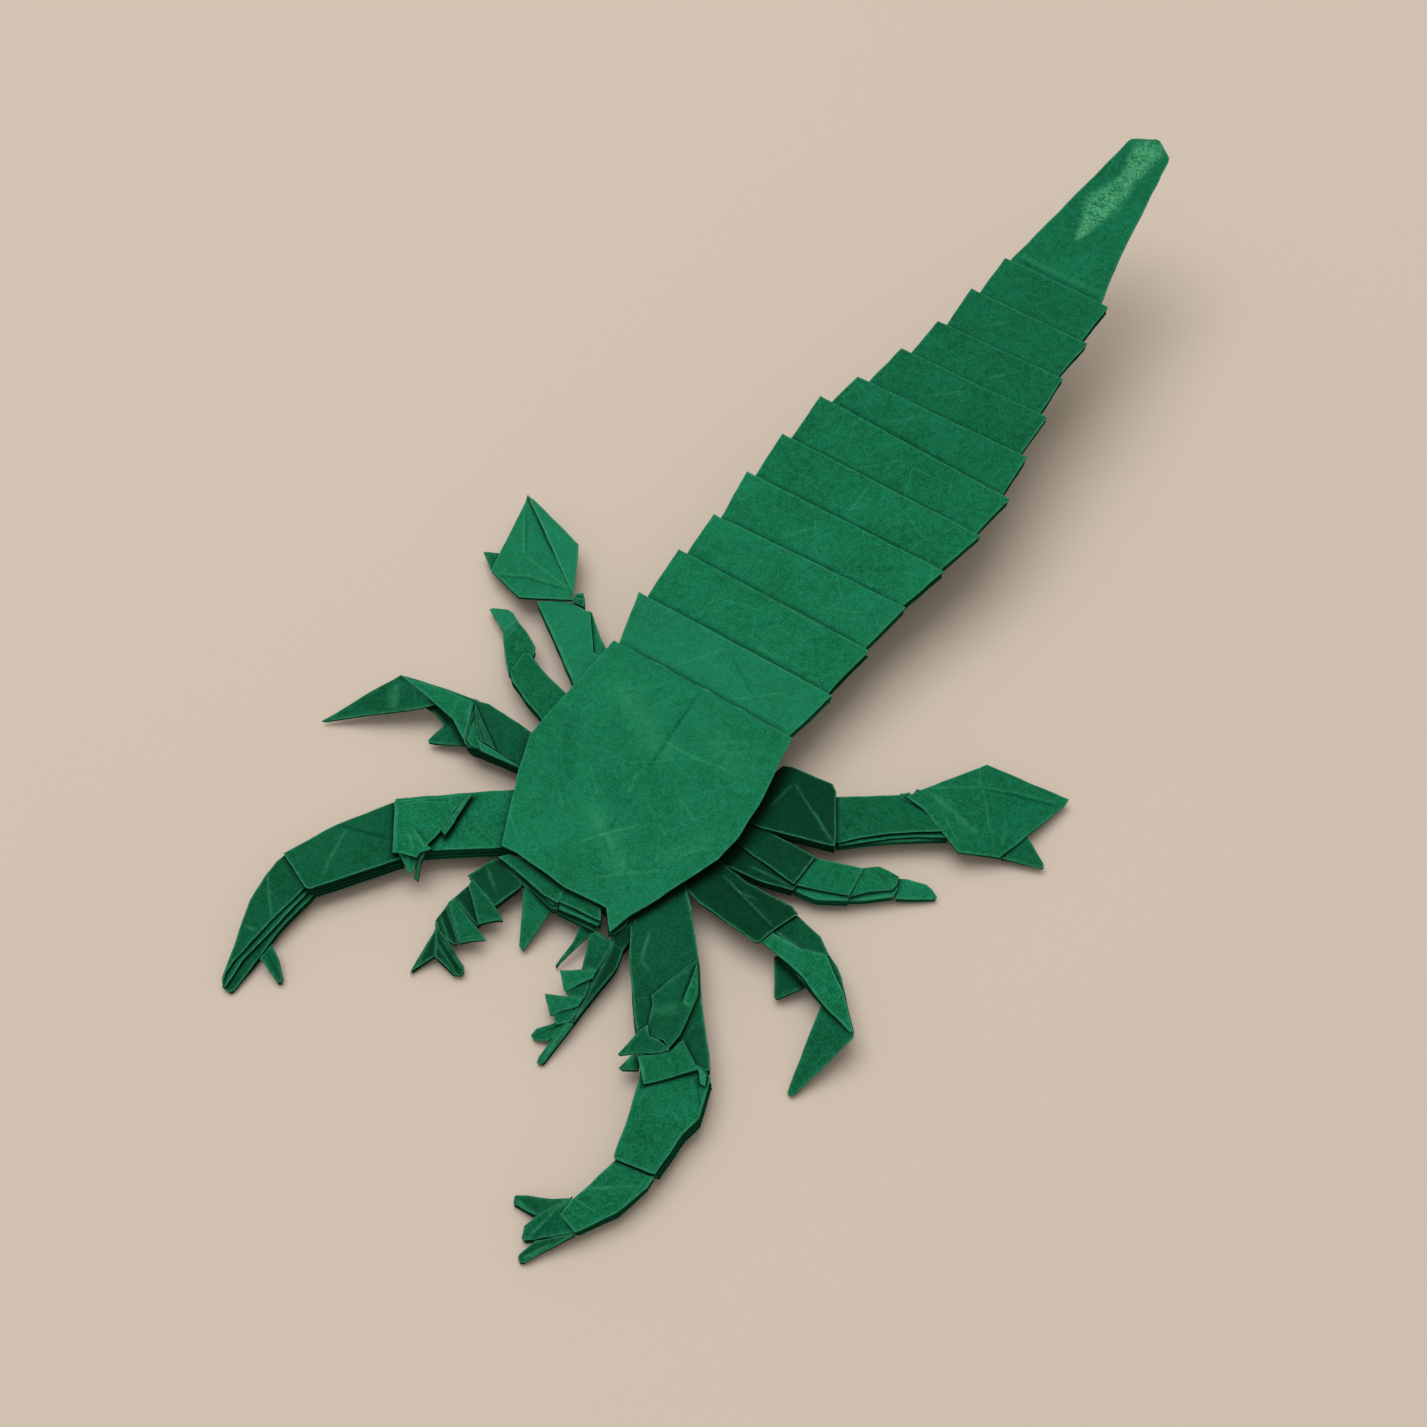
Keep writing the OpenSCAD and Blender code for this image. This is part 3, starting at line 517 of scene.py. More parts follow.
# Left walking leg: root, pleated fan at the hip, middle facet, spike and pointed end
panel("left_walking_leg", [(-18.8, -7.2, 4.7), (-22.4, -6.9, 4.7), (-29.1, -6.5, 4.6), (-30.7, -7, 4.6),
    (-31, -7.8, 4.6), (-27.5, -14.5, 4.6), (-26.4, -14.8, 4.6), (-24.8, -14.3, 4.6), (-17.9, -13.4, 4.7),
    (-14.9, -12.9, 4.7)], layers=5, grow={6: 0.1, 7: 0.1}, tone=-0.6)
panel("left_walking_leg", [(-30.4, -8.2, 5.4), (-22.3, -13.1, 5.1), (-25.5, -13, 5), (-28, -11, 5.2)],
    creases=[(-28.3, -10.1, -24.1, -12.8, 0.08)], layers=1, thick=0.35, tone=-0.8)
panel("left_walking_leg", [(-28.9, -10.3, 5), (-24.2, -14.2, 4.9), (-26.2, -14.5, 4.9),
    (-27.3, -14, 4.9)], creases=[(-27.4, -11.7, -24.8, -14.3, -0.1)], layers=1, thick=0.35, tone=-0.2)
panel("left_walking_leg", [(-25.9, -13.1, 5), (-21.6, -13.3, 5), (-17.3, -13.4, 5), (-17.1, -13.6, 4.9),
    (-24.3, -14.4, 4.9)], thick=0.3, tone=0.1)
panel("left_walking_leg", [(-43.7, -10.1, 4.9), (-41.5, -9.7, 4.9), (-36.3, -8.4, 4.9),
    (-30.9, -7.9, 5), (-27.6, -14.3, 4.6), (-31.7, -12, 4.6), (-36, -11.3, 4.8)],
    creases=[(-31.2, -8.3, -27.7, -13.8, 0.12)])
panel("left_walking_leg", [(-43.5, -9.7, 4.5), (-42, -9.2, 4.4), (-36.6, -7.9, 4.4), (-30.9, -6.8, 4.5),
    (-30.4, -7.4, 4.4), (-27.6, -14, 4.2), (-31.8, -11.9, 4.1), (-36.1, -11.2, 4.2)], layers=4, thick=0.3,
    drop=0.4, tone=-0.3)
panel("left_walking_leg", [(-50.3, -22, 0.9), (-50.1, -21.7, 1.2), (-46.5, -14.8, 3.4),
    (-43.9, -9.9, 4.7), (-42.3, -10.1, 4.8), (-35.8, -11.1, 4.4), (-37, -12.5, 4.2), (-43.7, -17.5, 2.7),
    (-49.6, -21.7, 1)], creases=[(-43.7, -11.5, -41.3, -15.2, 0.1, 0.9),
    (-44.2, -9.2, -37.2, -10.8, -0.12)], thick=0.35, tone=-0.55)
panel("left_walking_leg", [(-37.4, -12.1, 3.4), (-36.5, -10.7, 3.6), (-32.3, -11.5, 3.4),
    (-28.2, -13.7, 3.2), (-27.4, -13.9, 2.9), (-31.5, -15.3, 2), (-33.7, -16, 1.6), (-34, -15.7, 1.6),
    (-33.2, -12.5, 2.6), (-35.7, -11.9, 3.1)], thick=0.35, drop=0.4, tone=-0.45)

# Left short leg: four pleated packs with a blunt end
panel("left_short_leg", [(-30.6, 0.5, 4.4), (-31.2, 4.8, 4.4), (-30, 5, 4.4), (-25, 3.1, 4.5),
    (-19, 1.6, 4.6), (-16.3, -1.1, 4.6), (-18.8, -4.8, 4.6), (-25.1, -2.7, 4.5), (-29.1, -0.8, 4.4)],
    layers=5, grow={0: 0.05}, tone=-0.3)
panel("left_short_leg", [(-31.2, 0.6, 3.7), (-33.5, 2.8, 3.6), (-36.8, 6.3, 3.4), (-36.6, 10, 3.3),
    (-34.2, 9.1, 3.4), (-30.8, 7.2, 3.6), (-30, 5.9, 3.8), (-29.5, 3.9, 3.9), (-29.4, 0.5, 3.9)],
    creases=[(-35.9, 8.9, -36, 6.1, 0.12), (-35.1, 7.3, -32.9, 3.9, -0.1), (-33.8, 6.4, -32.6, 4.5, 0.08)],
    layers=4, drop=0.45, tone=-0.25)
panel("left_short_leg", [(-43.1, 10.5, 1.5), (-42.8, 11, 1.5), (-40.4, 11.9, 1.9), (-39, 11.7, 2.2),
    (-36.6, 10.2, 2.9), (-36.2, 7.9, 3), (-37.2, 7, 2.8), (-37.8, 7.5, 2.7)],
    creases=[(-37.3, 10.3, -37.4, 7.6, 0.12)], layers=3, thick=0.35, drop=0.38, tone=0.55)

# Left paddle leg: strip, knob at the joint, and the paddle with its raised ridge lines
panel("left_paddle_leg", [(-36.1, 14.4, 4.4), (-32.9, 16.6, 4.4), (-31, 17.3, 4.4), (-28.1, 17.3, 4.4),
    (-27.3, 17, 4.4), (-22.2, 11, 4.5), (-19.1, 10.9, 4.6), (-16.7, 8.1, 4.6), (-16.9, 3, 4.7),
    (-20.8, 4, 4.7)], creases=[(-34.8, 13.8, -21.5, 5.1, 0.12), (-35.4, 14.1, -27.2, 8.8, -0.06)], layers=5,
    grow={8: 0.04}, tone=0.5)
panel("left_paddle_leg", [(-28.5, 17.8, 3.8), (-27.8, 18, 3.8), (-24.4, 15.2, 3.9), (-21.4, 13.2, 4),
    (-19, 11.5, 4), (-21.4, 9.5, 4)], layers=4, tone=0.25)
panel("left_paddle_leg", [(-31.1, 17.2, 5), (-31.7, 18.8, 4.9), (-31, 19.9, 4.7), (-29.9, 19, 4.6),
    (-29.1, 17.8, 4.3), (-30.1, 17.7, 4.4)], creases=[(-31.7, 18.7, -30.7, 19.7, 0.15),
    (-31.5, 18.2, -30.3, 19.3, -0.15), (-31.3, 17.9, -30, 19, 0.12)], layers=4, thick=0.35, tone=-0.3)
panel("left_paddle", [(-52.3, 32.4, 4), (-51.5, 30.7, 4), (-48.5, 20, 3), (-47.4, 16.4, 2.8),
    (-42.3, 14.6, 3.6), (-39, 13.4, 4.4), (-37.1, 14.3, 4.6), (-31.1, 17.6, 5), (-32.4, 18.8, 5.2)],
    inner=[(-42.8, 19.9, 5.2), (-41.3, 19.5, 5.5)], folds=[(0, 9), (9, 10), (10, 8), (9, 3)],
    creases=[(-50.7, 29.5, -43.7, 20.7, 0.12), (-50.2, 29.4, -43.3, 20.8, -0.1),
    (-43.4, 20.4, -32.9, 18.8, 0.12), (-46.8, 15.9, -33.1, 18.9, 0.1), (-46.5, 15.6, -33, 18.5, -0.12),
    (-43.9, 19.4, -41.9, 17, 0.07), (-45.3, 19.5, -44.7, 16.9, 0.05), (-40.6, 19.8, -38.5, 20.5, -0.05)],
    tone=0.35)
panel("left_paddle", [(-52, 32.1, 4.5), (-49.9, 31.7, 4.5), (-38.1, 28, 4.5), (-36.5, 25.8, 4.6),
    (-31.5, 18.1, 5.3), (-32.3, 18.6, 5.4), (-42.1, 25.2, 5.1)], creases=[(-50.2, 31.1, -32.7, 19, 0.1),
    (-43.6, 28.6, -39.8, 25.9, 0.05)], tone=0.6)
panel("left_paddle", [(-51.6, 19.5, 1.9), (-50.4, 20, 2.1), (-48.7, 20.4, 2.5), (-46.7, 18.8, 2.5),
    (-47.5, 16.7, 2.3), (-48.3, 17.1, 2.2)], thick=0.35, tone=-0.3)

# Layers under the front edge of the head, in two groups with a notch near the right corner
panel("head_front", [(-9.8, -28.2, 5.4), (-8.6, -26.9, 5.6), (-6.5, -26.6, 5.7), (1.5, -26.9, 5.6),
    (2.1, -29.4, 5.2), (-0.6, -29.4, 5), (-6.7, -28.4, 5.1)], tone=-0.35)
panel("head_front", [(-10, -28.1, 4.9), (-8.5, -27, 5.2), (1.4, -27.3, 5.1), (2.3, -29.4, 4.7),
    (1.1, -29.8, 4.5), (-3.2, -29, 4.5), (-6.6, -28.6, 4.6)], layers=1, thick=0.35, tone=0.1)
panel("head_front", [(-10.2, -28.1, 4.3), (-8.5, -27, 4.7), (1.5, -27.4, 4.6), (2.3, -29.9, 4.2),
    (1.1, -30.1, 4), (-3.1, -29.3, 4), (-3.7, -29.5, 4)], layers=1, thick=0.35)
panel("head_front", [(-10.5, -28, 3.7), (-8.6, -27.1, 4.2), (1.7, -27.7, 4.1), (2.4, -30, 3.7),
    (1.5, -30.2, 3.5), (-0.8, -29.8, 3.5), (-4.5, -29.4, 3.4)], thick=0.35, tone=-0.2)
panel("head_front", [(1.1, -26.9, 5.6), (7.7, -26.7, 5.6), (8.9, -28.3, 5.2), (2, -29.1, 5.1)],
    layers=1, tone=-0.4)
panel("head_front", [(1.3, -27.4, 5), (7.7, -26.7, 5), (9, -28.2, 4.8), (8.7, -28.9, 4.6),
    (2.5, -29.8, 4.6)], thick=0.4, drop=0.5, tone=0.15)
panel("head_front", [(1.4, -27.9, 4), (8, -27.1, 4.1), (9, -28.7, 3.9), (8.8, -29.4, 3.6),
    (2.3, -30.1, 3.5)], thick=0.4, drop=0.5, tone=0.05)
panel("head_front", [(8.4, -26.4, 5.2), (11.8, -25.6, 5.6), (12.3, -26.8, 5), (11.6, -28.7, 4.6),
    (10.8, -29.2, 4.5)], layers=3, tone=-0.25)
panel("head_front", [(11, -28.9, 4.4), (12, -26.9, 4.8), (12.7, -24.9, 5), (13.8, -26.9, 4.3),
    (13.8, -29.8, 3.8), (12.5, -30, 3.9)], layers=4, thick=0.3, drop=0.5, tone=-1)

# Spikes under the front edge
panel("left_spike", [(-4.2, -29.5, 3.8), (-2.7, -28.9, 3.8), (1.1, -29.7, 3.4), (1.2, -32, 2.6),
    (1.2, -36.4, 1.2), (0.9, -36.7, 1.1), (0.2, -36.4, 1.3), (-1.1, -34.3, 2.4)], thick=0.35, tone=-0.25)
panel("right_spike", [(6.1, -29.5, 3.3), (8.4, -28.7, 3.3), (8.3, -29.1, 3), (6.7, -35.5, 1.1),
    (6.5, -36, 1), (6.3, -35.8, 1.1), (6.5, -31.8, 2.3)], thick=0.3, tone=-0.6)

# Left mouth limb: pleats that stand out as teeth, and a forked end
panel("left_palp", [(-12.4, -32.3, 3.4), (-10.5, -28, 4.2), (-4.8, -29, 4.3), (-4.6, -29.7, 3.7),
    (-5.7, -34, 3.4), (-6.4, -34.1, 3.3)], creases=[(-10.9, -29.6, -7.1, -32.3, 0.08)], layers=3,
    grow={3: 0.1}, tone=-0.85)
panel("left_palp", [(-11.2, -33.6, 3.3), (-11.4, -32.5, 3.3), (-10.8, -32.5, 3.6), (-5.5, -34.3, 3.6),
    (-3.5, -35.2, 3), (-4.3, -35.8, 3.1), (-5.6, -37.4, 3.2), (-5.9, -37.8, 3.2)], thick=0.35, tone=-0.55)
panel("left_palp", [(-11.8, -36.2, 2.9), (-11.4, -33.3, 2.9), (-5.9, -37.2, 2.9), (-6, -38, 2.9)],
    creases=[(-11.6, -34.8, -6, -37.5, -0.1)], layers=3, thick=0.35, tone=-0.95)
panel("left_palp", [(-12, -37.3, 2.9), (-11.8, -36.2, 2.9), (-5.8, -38.3, 3.2), (-3.6, -38.9, 2.5),
    (-5, -40.1, 2.7), (-6.3, -41.6, 2.8)], thick=0.35, tone=-0.4)
panel("left_palp", [(-11.7, -40.5, 2.5), (-12, -37.2, 2.6), (-6.6, -41.5, 2.6), (-6.9, -42.1, 2.5),
    (-9.8, -42, 2.4)], creases=[(-11.9, -38.5, -6.9, -41.7, -0.14), (-11.8, -37.9, -6.9, -41.3, 0.1),
    (-11.7, -39.5, -7.9, -42, 0.08)], layers=3, thick=0.3, drop=0.36, tone=-1)
panel("left_palp", [(-11, -41.2, 2.4), (-10, -42.2, 2.5), (-8.2, -44.8, 1.9), (-9.7, -48.2, 1),
    (-9.6, -48.8, 0.8), (-10, -48.2, 0.9), (-10.4, -45.1, 1.6), (-10.7, -42.3, 2.2)],
    creases=[(-10.7, -42.3, -9.2, -48.6, 0.12)], layers=3, thick=0.3, drop=0.34, tone=-1)
panel("left_palp", [(-11.6, -40.7, 2.4), (-8, -42.1, 2.5), (-4, -43.6, 1.5), (-3.5, -44.1, 1.3),
    (-3.5, -44.9, 1.2), (-4.3, -45.4, 1.2), (-8.2, -44.9, 1.8), (-9.4, -43.2, 2.2)],
    creases=[(-9.8, -42.4, -3.6, -44.8, -0.12), (-9.2, -42.4, -3.7, -44.2, 0.1),
    (-9.3, -43.2, -4, -45.1, 0.08)], layers=3, thick=0.3, drop=0.34, tone=-0.95)

# Right mouth limb
panel("right_palp", [(8.4, -30.4, 3.9), (8.9, -29.5, 4.2), (12.1, -29.5, 4.2), (12.7, -34.4, 3.6),
    (10.7, -35.3, 3.5)], creases=[(9.1, -29.9, 11.6, -29.8, 0.1)], layers=3, thick=0.35, tone=-0.55)
panel("right_palp", [(8.1, -37, 3), (10.7, -35.3, 3.4), (12.7, -34.3, 3.7), (12.9, -35.6, 3.5),
    (11.8, -37.3, 3.2), (10.9, -39.1, 2.8), (10.4, -39.1, 2.8)], thick=0.35, tone=-0.2)
panel("right_palp", [(10.1, -38.7, 2.6), (12.4, -34.6, 3.1), (13.7, -38.7, 3.1), (11.6, -39.5, 2.7)],
    layers=3, thick=0.35, tone=-0.6)
panel("right_palp", [(8.4, -40.9, 2.3), (11.7, -39.5, 2.8), (13.6, -38.7, 3.1), (13.7, -40.1, 2.9),
    (12.3, -41.7, 2.6), (11.2, -43.2, 2.2), (9.3, -41.7, 2.3)], thick=0.35, tone=-0.2)
panel("right_palp", [(10.9, -42.4, 2.1), (13.6, -39.2, 2.6), (14.2, -42.3, 2.5), (12.7, -43.8, 2.1)],
    layers=3, thick=0.3, drop=0.36, tone=-0.35)
panel("right_palp", [(10.3, -46.6, 0.9), (10.4, -45.5, 1.2), (12.2, -43.5, 1.8), (14, -42.4, 2.4),
    (14, -43.9, 2), (13, -46.2, 1.4), (11.2, -47, 0.9)], creases=[(11, -46.5, 13.5, -42.8, -0.13)],
    thick=0.35, tone=-0.3)
panel("right_palp", [(13.5, -49.4, 0.8), (13.3, -48.6, 1), (13.4, -43.1, 2), (14.3, -42.5, 2.4),
    (14.7, -42.5, 2.3), (14.4, -49.1, 0.9), (14, -49.5, 0.8)], creases=[(14, -49.5, 14, -42.6, 0.14)],
    thick=0.35, tone=-0.3)
panel("right_palp", [(12, -29.5, 4), (12.3, -28.5, 4.2), (13.7, -29.3, 3.8), (14.6, -32.2, 3.3),
    (14.5, -41.8, 2.2), (14.4, -49.2, 0.8), (14.2, -42.7, 2.2), (12.6, -34.3, 3.3)],
    creases=[(12.1, -29.1, 14.6, -42.4, 0.1)], layers=4, thick=0.3, tone=-1)

# Right great arm: upper arm, outer strip, elbow flap, spikes, lip and forearm
panel("right_arm", [(8.8, -21, 4.7), (12.6, -13.7, 4.7), (17.9, -18.9, 4.7), (23.5, -25, 4.7),
    (28.1, -30.7, 4.6), (33.1, -36.1, 4.5), (34.9, -38.4, 4.5), (27.6, -43.8, 4.4), (23.3, -39.4, 4.5),
    (19.7, -35.4, 4.6), (15.4, -30.4, 4.7), (13.7, -27.8, 4.7)], creases=[(15.4, -25.5, 17.3, -30.2, 0.12),
    (17.3, -30.2, 19.1, -30.6, 0.1), (15.6, -17.2, 18.4, -19.5, 0.1)], layers=5, grow={8: 0.05, 9: 0.05},
    tone=-0.65)
panel("right_arm", [(21.7, -33.8, 5), (22.2, -30.8, 5), (23.6, -25.4, 5), (24.2, -26.6, 5),
    (26, -32.6, 5.1), (27, -29.9, 5), (28.7, -36.6, 5.3), (28.7, -39.4, 5.5), (27.3, -38.7, 5.4),
    (25.2, -39.3, 5.3), (24.1, -37.9, 5.2), (22.8, -35, 5.1)], creases=[(22.4, -30.9, 23.8, -27.6, 0.08),
    (24.1, -26.5, 25.9, -32.3, -0.18), (23.8, -35.9, 26, -33.2, 0.05, 0.9)], thick=0.4, tone=-0.6)
panel("right_arm", [(24, -26, 5.3), (25, -27.2, 5.3), (26.9, -29.9, 5.2), (27.3, -32.6, 5.2),
    (26, -32.4, 5.3), (25.9, -32.1, 5.3)], layers=1, thick=0.4, tone=-0.05)
panel("right_arm", [(23.6, -40, 5.2), (23.7, -39.2, 5.3), (24.2, -38, 5.5), (25.4, -39.3, 5.6),
    (26.9, -39.1, 5.7), (29, -39.4, 5.6), (27.9, -40.5, 5.2), (25.6, -41.8, 4.6), (22.9, -43.1, 3.2),
    (22.7, -42.9, 3.2)], creases=[(24.1, -38, 25, -39, 0.14), (25.2, -39, 28.5, -39.1, 0.12),
    (23.7, -39.3, 23.7, -43.2, 0.08), (25.5, -39, 26.6, -38.7, -0.12)], thick=0.4, tone=-0.55)
panel("right_arm", [(24.6, -42.2, 4), (25.7, -41.7, 4.2), (26.7, -43.5, 3.6), (24.2, -44.5, 2.6),
    (23.8, -44.3, 2.5), (24.1, -43.6, 3)], creases=[(24.8, -42, 24.9, -44.1, 0.1)], thick=0.4, tone=-0.3)
panel("right_arm", [(25.7, -42.4, 5), (28, -40.6, 5.2), (29, -39.4, 5.3), (29.4, -36.9, 5.4),
    (33.1, -39.2, 5.3), (33.9, -39.2, 5.3), (31.4, -42.5, 5.1), (28.9, -45.4, 5), (27.6, -44.2, 5)],
    creases=[(26.1, -42.5, 28.9, -45.2, 0.14), (29.4, -36.8, 32.1, -38.4, -0.16),
    (29.2, -40.4, 30.8, -41.2, 0.06), (28.3, -41.7, 29.1, -42.1, 0.06)], thick=0.4, tone=-0.25)
panel("right_arm", [(33, -39, 5.2), (33.8, -39.1, 5.3), (35, -39.4, 5), (35.8, -40.9, 4.8),
    (35, -40.9, 4.8), (34.1, -39.9, 5)], layers=1, thick=0.35, tone=0.5)
panel("right_arm", [(26.9, -43.4, 4.5), (33.7, -38.5, 4.5), (35.6, -39.3, 4.4), (37.2, -43.6, 4.4),
    (37.7, -44.9, 4.3), (37.2, -48.1, 4.2), (37.5, -54.6, 4), (36.8, -54.9, 4.1), (31.9, -55.9, 4.1),
    (31.5, -55.6, 4.1), (29.8, -50.2, 4.3), (27.7, -44.8, 4.4)], creases=[(33.9, -40, 37, -43.7, -0.16),
    (31.1, -53.2, 34.5, -50.3, -0.05, 0.9), (33.7, -46, 36.6, -47.1, 0.05)], layers=5,
    grow={2: 0.08, 3: 0.08, 4: 0.1, 5: 0.1}, tone=-0.1)
panel("right_claw", [(31.8, -56.3, 3.5), (31.9, -55.7, 3.6), (36.9, -55.1, 3.6), (37.5, -54.5, 3.5),
    (37.6, -56.5, 3.4), (36.4, -61.4, 3.2), (33.8, -66.2, 2.9), (33.5, -66.6, 2.9), (30.3, -65.7, 2.9),
    (30.5, -63.1, 3.1), (31, -61.1, 3.3)], creases=[(31.1, -61.2, 36.6, -56.9, 0.09),
    (31.8, -62.5, 33.2, -62.6, -0.05)], layers=4, grow={4: 0.12, 5: 0.12}, tone=-0.05)
panel("right_claw", [(33.8, -66.1, 2.8), (30.1, -65.5, 2.9), (30.5, -63.4, 3), (30.1, -63.1, 2.9),
    (27.7, -67.4, 2.1), (27.1, -69.2, 1.6), (27.7, -70.6, 1.2), (28.1, -70.8, 1.1), (29.2, -70, 1.3),
    (31.3, -68.3, 2)], creases=[(30.2, -63.2, 28.4, -70.5, 0.14), (30, -64.2, 29.1, -70.5, -0.08)],
    layers=3, thick=0.35, drop=0.38, tone=-0.5)
panel("right_claw", [(23.4, -66.7, 1.2), (23.5, -66.4, 1.3), (24.7, -65.7, 1.5), (27.8, -64.5, 2.2),
    (30, -63.2, 2.8), (30.1, -62.8, 2.8), (30.3, -63, 2.7), (29.7, -64.8, 2.5), (27.7, -67.4, 1.9),
    (23.9, -67.5, 1.1)], creases=[(24, -66.9, 27.5, -67.4, 0.12), (30.1, -62.7, 27.8, -67.2, 0.1)],
    layers=3, thick=0.35, drop=0.36, tone=-0.6)
panel("right_claw", [(28.9, -72.9, 0.9), (28.8, -72.5, 1), (29.5, -70, 1.5), (31.3, -68.4, 2),
    (33.5, -66.3, 2.6), (33.6, -66.8, 2.5), (32.2, -69.2, 1.8), (30.2, -72.8, 0.9), (29.6, -73.3, 0.8)],
    creases=[(29.4, -72.9, 31.8, -69.1, 0.14)], layers=3, thick=0.3, drop=0.34, tone=-0.75)

# Right walking leg
panel("right_walking_leg", [(13.1, -16.2, 4.7), (14.2, -9.6, 4.7), (21.8, -10.8, 4.7),
    (29.6, -10.4, 4.7), (31, -11, 4.7), (29.6, -15.3, 4.7), (29.1, -18.1, 4.7), (28.6, -18.4, 4.7),
    (18.5, -17.6, 4.7)], creases=[(18.7, -12.3, 29.5, -15.3, -0.12), (18.7, -11.9, 29.5, -15, 0.1),
    (21.3, -12.9, 25, -12.4, 0.06)], layers=3, drop=0.3, tone=-1)
panel("right_walking_leg", [(29.5, -15.2, 4.2), (31, -11, 4.2), (35.5, -12.1, 4.3), (38.4, -14.1, 4.3),
    (34.4, -15.5, 4.3)], layers=4, tone=-0.75)
panel("right_walking_leg", [(29.1, -17.7, 4.4), (29.7, -15.6, 4.5), (34.6, -15.5, 4.5),
    (37.9, -14.3, 4.6), (43.2, -18.1, 4.7), (47.8, -22.7, 4.8), (47, -22.8, 4.8), (42, -21.3, 4.6),
    (37, -19.1, 4.4), (32.2, -18.1, 4.3)], creases=[(29.8, -15.8, 34.8, -15.7, 0.12),
    (37.4, -18.8, 37.7, -17.2, -0.08), (44.1, -20.8, 44.9, -20.3, -0.08)], tone=-0.05)
panel("right_walking_leg", [(34.5, -15.2, 4), (38.3, -13.9, 4), (40, -14.7, 4), (41.3, -15.7, 4),
    (43.4, -17.9, 4.1), (47.7, -22.4, 4.3), (41.9, -21, 4), (32.4, -17.9, 3.9)], layers=4, thick=0.3,
    drop=0.4, tone=-0.35)
panel("right_walking_leg", [(31.5, -17.9, 2.9), (32, -17.3, 3), (37.6, -18.6, 3), (38, -19.2, 2.8),
    (37, -20.5, 2.4), (35.2, -22.8, 1.6), (34.8, -22.7, 1.6)], thick=0.35, tone=-0.75)
panel("right_walking_leg", [(41.5, -21.3, 3.9), (41.7, -20.6, 4), (47.2, -22.5, 4.6),
    (47.8, -22.7, 4.7), (48, -23.2, 4.6), (46.8, -28, 3), (45.3, -33.2, 1.1), (45, -33.7, 0.9),
    (44.5, -33.8, 0.9), (44.2, -33.4, 1), (42.8, -27.5, 2.4)], thick=0.4, tone=-0.45)

# Right short leg
panel("right_short_leg", [(15.1, -4.3, 4.6), (16, -0.1, 4.6), (18.3, -1.6, 4.5), (23.6, -1.3, 4.4),
    (27.6, -1.2, 4.3), (27.5, -1.8, 4.3), (27.5, -6.9, 4.2), (17.2, -6, 4.5)], tone=-0.9)
panel("right_short_leg", [(15.1, -7.8, 4.1), (17.8, -2.7, 4.1), (27.6, -1.1, 3.9), (27.8, -7.6, 3.7),
    (23.1, -9.1, 3.9), (17, -10, 4.1)], creases=[(20.5, -7.9, 27.5, -7.1, 0.1)], layers=4,
    grow={3: 0.06, 4: 0.08}, tone=-1)
panel("right_short_leg", [(27.6, -1.1, 3.9), (31.2, 0.4, 3.7), (34, 1.6, 3.5), (34.2, 0.8, 3.5),
    (34.8, -3.5, 3.4), (31.1, -5.1, 3.5), (27.4, -6.7, 3.8), (27.5, -5.4, 3.8)],
    creases=[(28.6, -6.1, 34.4, -3.6, -0.1), (30.9, -1, 31.7, -2.2, -0.05)], tone=-0.15)
panel("right_short_leg", [(27.3, -1.1, 3.3), (34, 1.6, 3.1), (35, -4.1, 2.9), (31.2, -6.6, 3),
    (27.6, -7.2, 3.2)], layers=4, thick=0.35, drop=0.4, grow={2: 0.08, 3: 0.08}, tone=0.5)
panel("right_short_leg", [(33.9, 1.8, 3.3), (35.6, 3.4, 3.2), (37.1, 3.7, 3), (38.8, 3.8, 2.8),
    (39.3, 2.5, 2.8), (39.2, 1.3, 2.8), (36.5, -1.2, 3), (34.6, -3.8, 3.1)],
    creases=[(35.4, 2.3, 38.1, 2.1, -0.1), (35, -2.9, 39.5, 1.5, -0.12)], thick=0.4, tone=-0.05)
panel("right_short_leg", [(33.2, 1.8, 2.7), (38.8, 3.8, 2.4), (39.7, 2.1, 2.3), (39.8, 0.6, 2.2),
    (36.9, -2.2, 2.3), (34.3, -4.4, 2.5)], layers=4, thick=0.3, drop=0.36, tone=0.6)
panel("right_short_leg", [(38.6, 3.7, 2.2), (39.8, 4.5, 2.1), (42.5, 5.5, 1.8), (43.6, 5.4, 1.5),
    (44.7, 5, 1.1), (44.7, 4.5, 1), (42.5, 2.6, 1.4), (40.1, 0.8, 1.8)], layers=3, thick=0.3, drop=0.36,
    tone=0.2)

# Right paddle leg and paddle
panel("right_paddle_leg", [(13.7, 2, 5), (14.7, 9.3, 5), (16.1, 10, 5), (22.7, 10.8, 5), (23.9, 9.9, 5),
    (28.5, 2.7, 4.9), (29, 1.6, 4.9), (28, 1.2, 4.9), (18.5, -1.9, 5), (15.2, -2.4, 5)],
    creases=[(18, 7.6, 28.9, 1.7, 0.12), (17.8, 7.1, 17.4, 2.2, 0.08), (19.2, 7, 23.4, 4.8, -0.06)],
    layers=5, tone=-1)
panel("right_paddle_leg", [(23.5, 9.1, 4.3), (27.7, 12.2, 4.3), (31.6, 15.2, 4.3), (32.6, 16.5, 4.3),
    (35.7, 15.5, 4.3), (40.6, 13.5, 4.3), (37.1, 10.9, 4.3), (34.3, 8.6, 4.3), (30.9, 5.3, 4.3),
    (28.9, 2.8, 4.3), (27.9, 2.7, 4.3)], creases=[(28.8, 3, 28.1, 7.9, -0.12),
    (28.8, 3.4, 28.2, 5.8, 0.08)], layers=1, tone=-0.4)
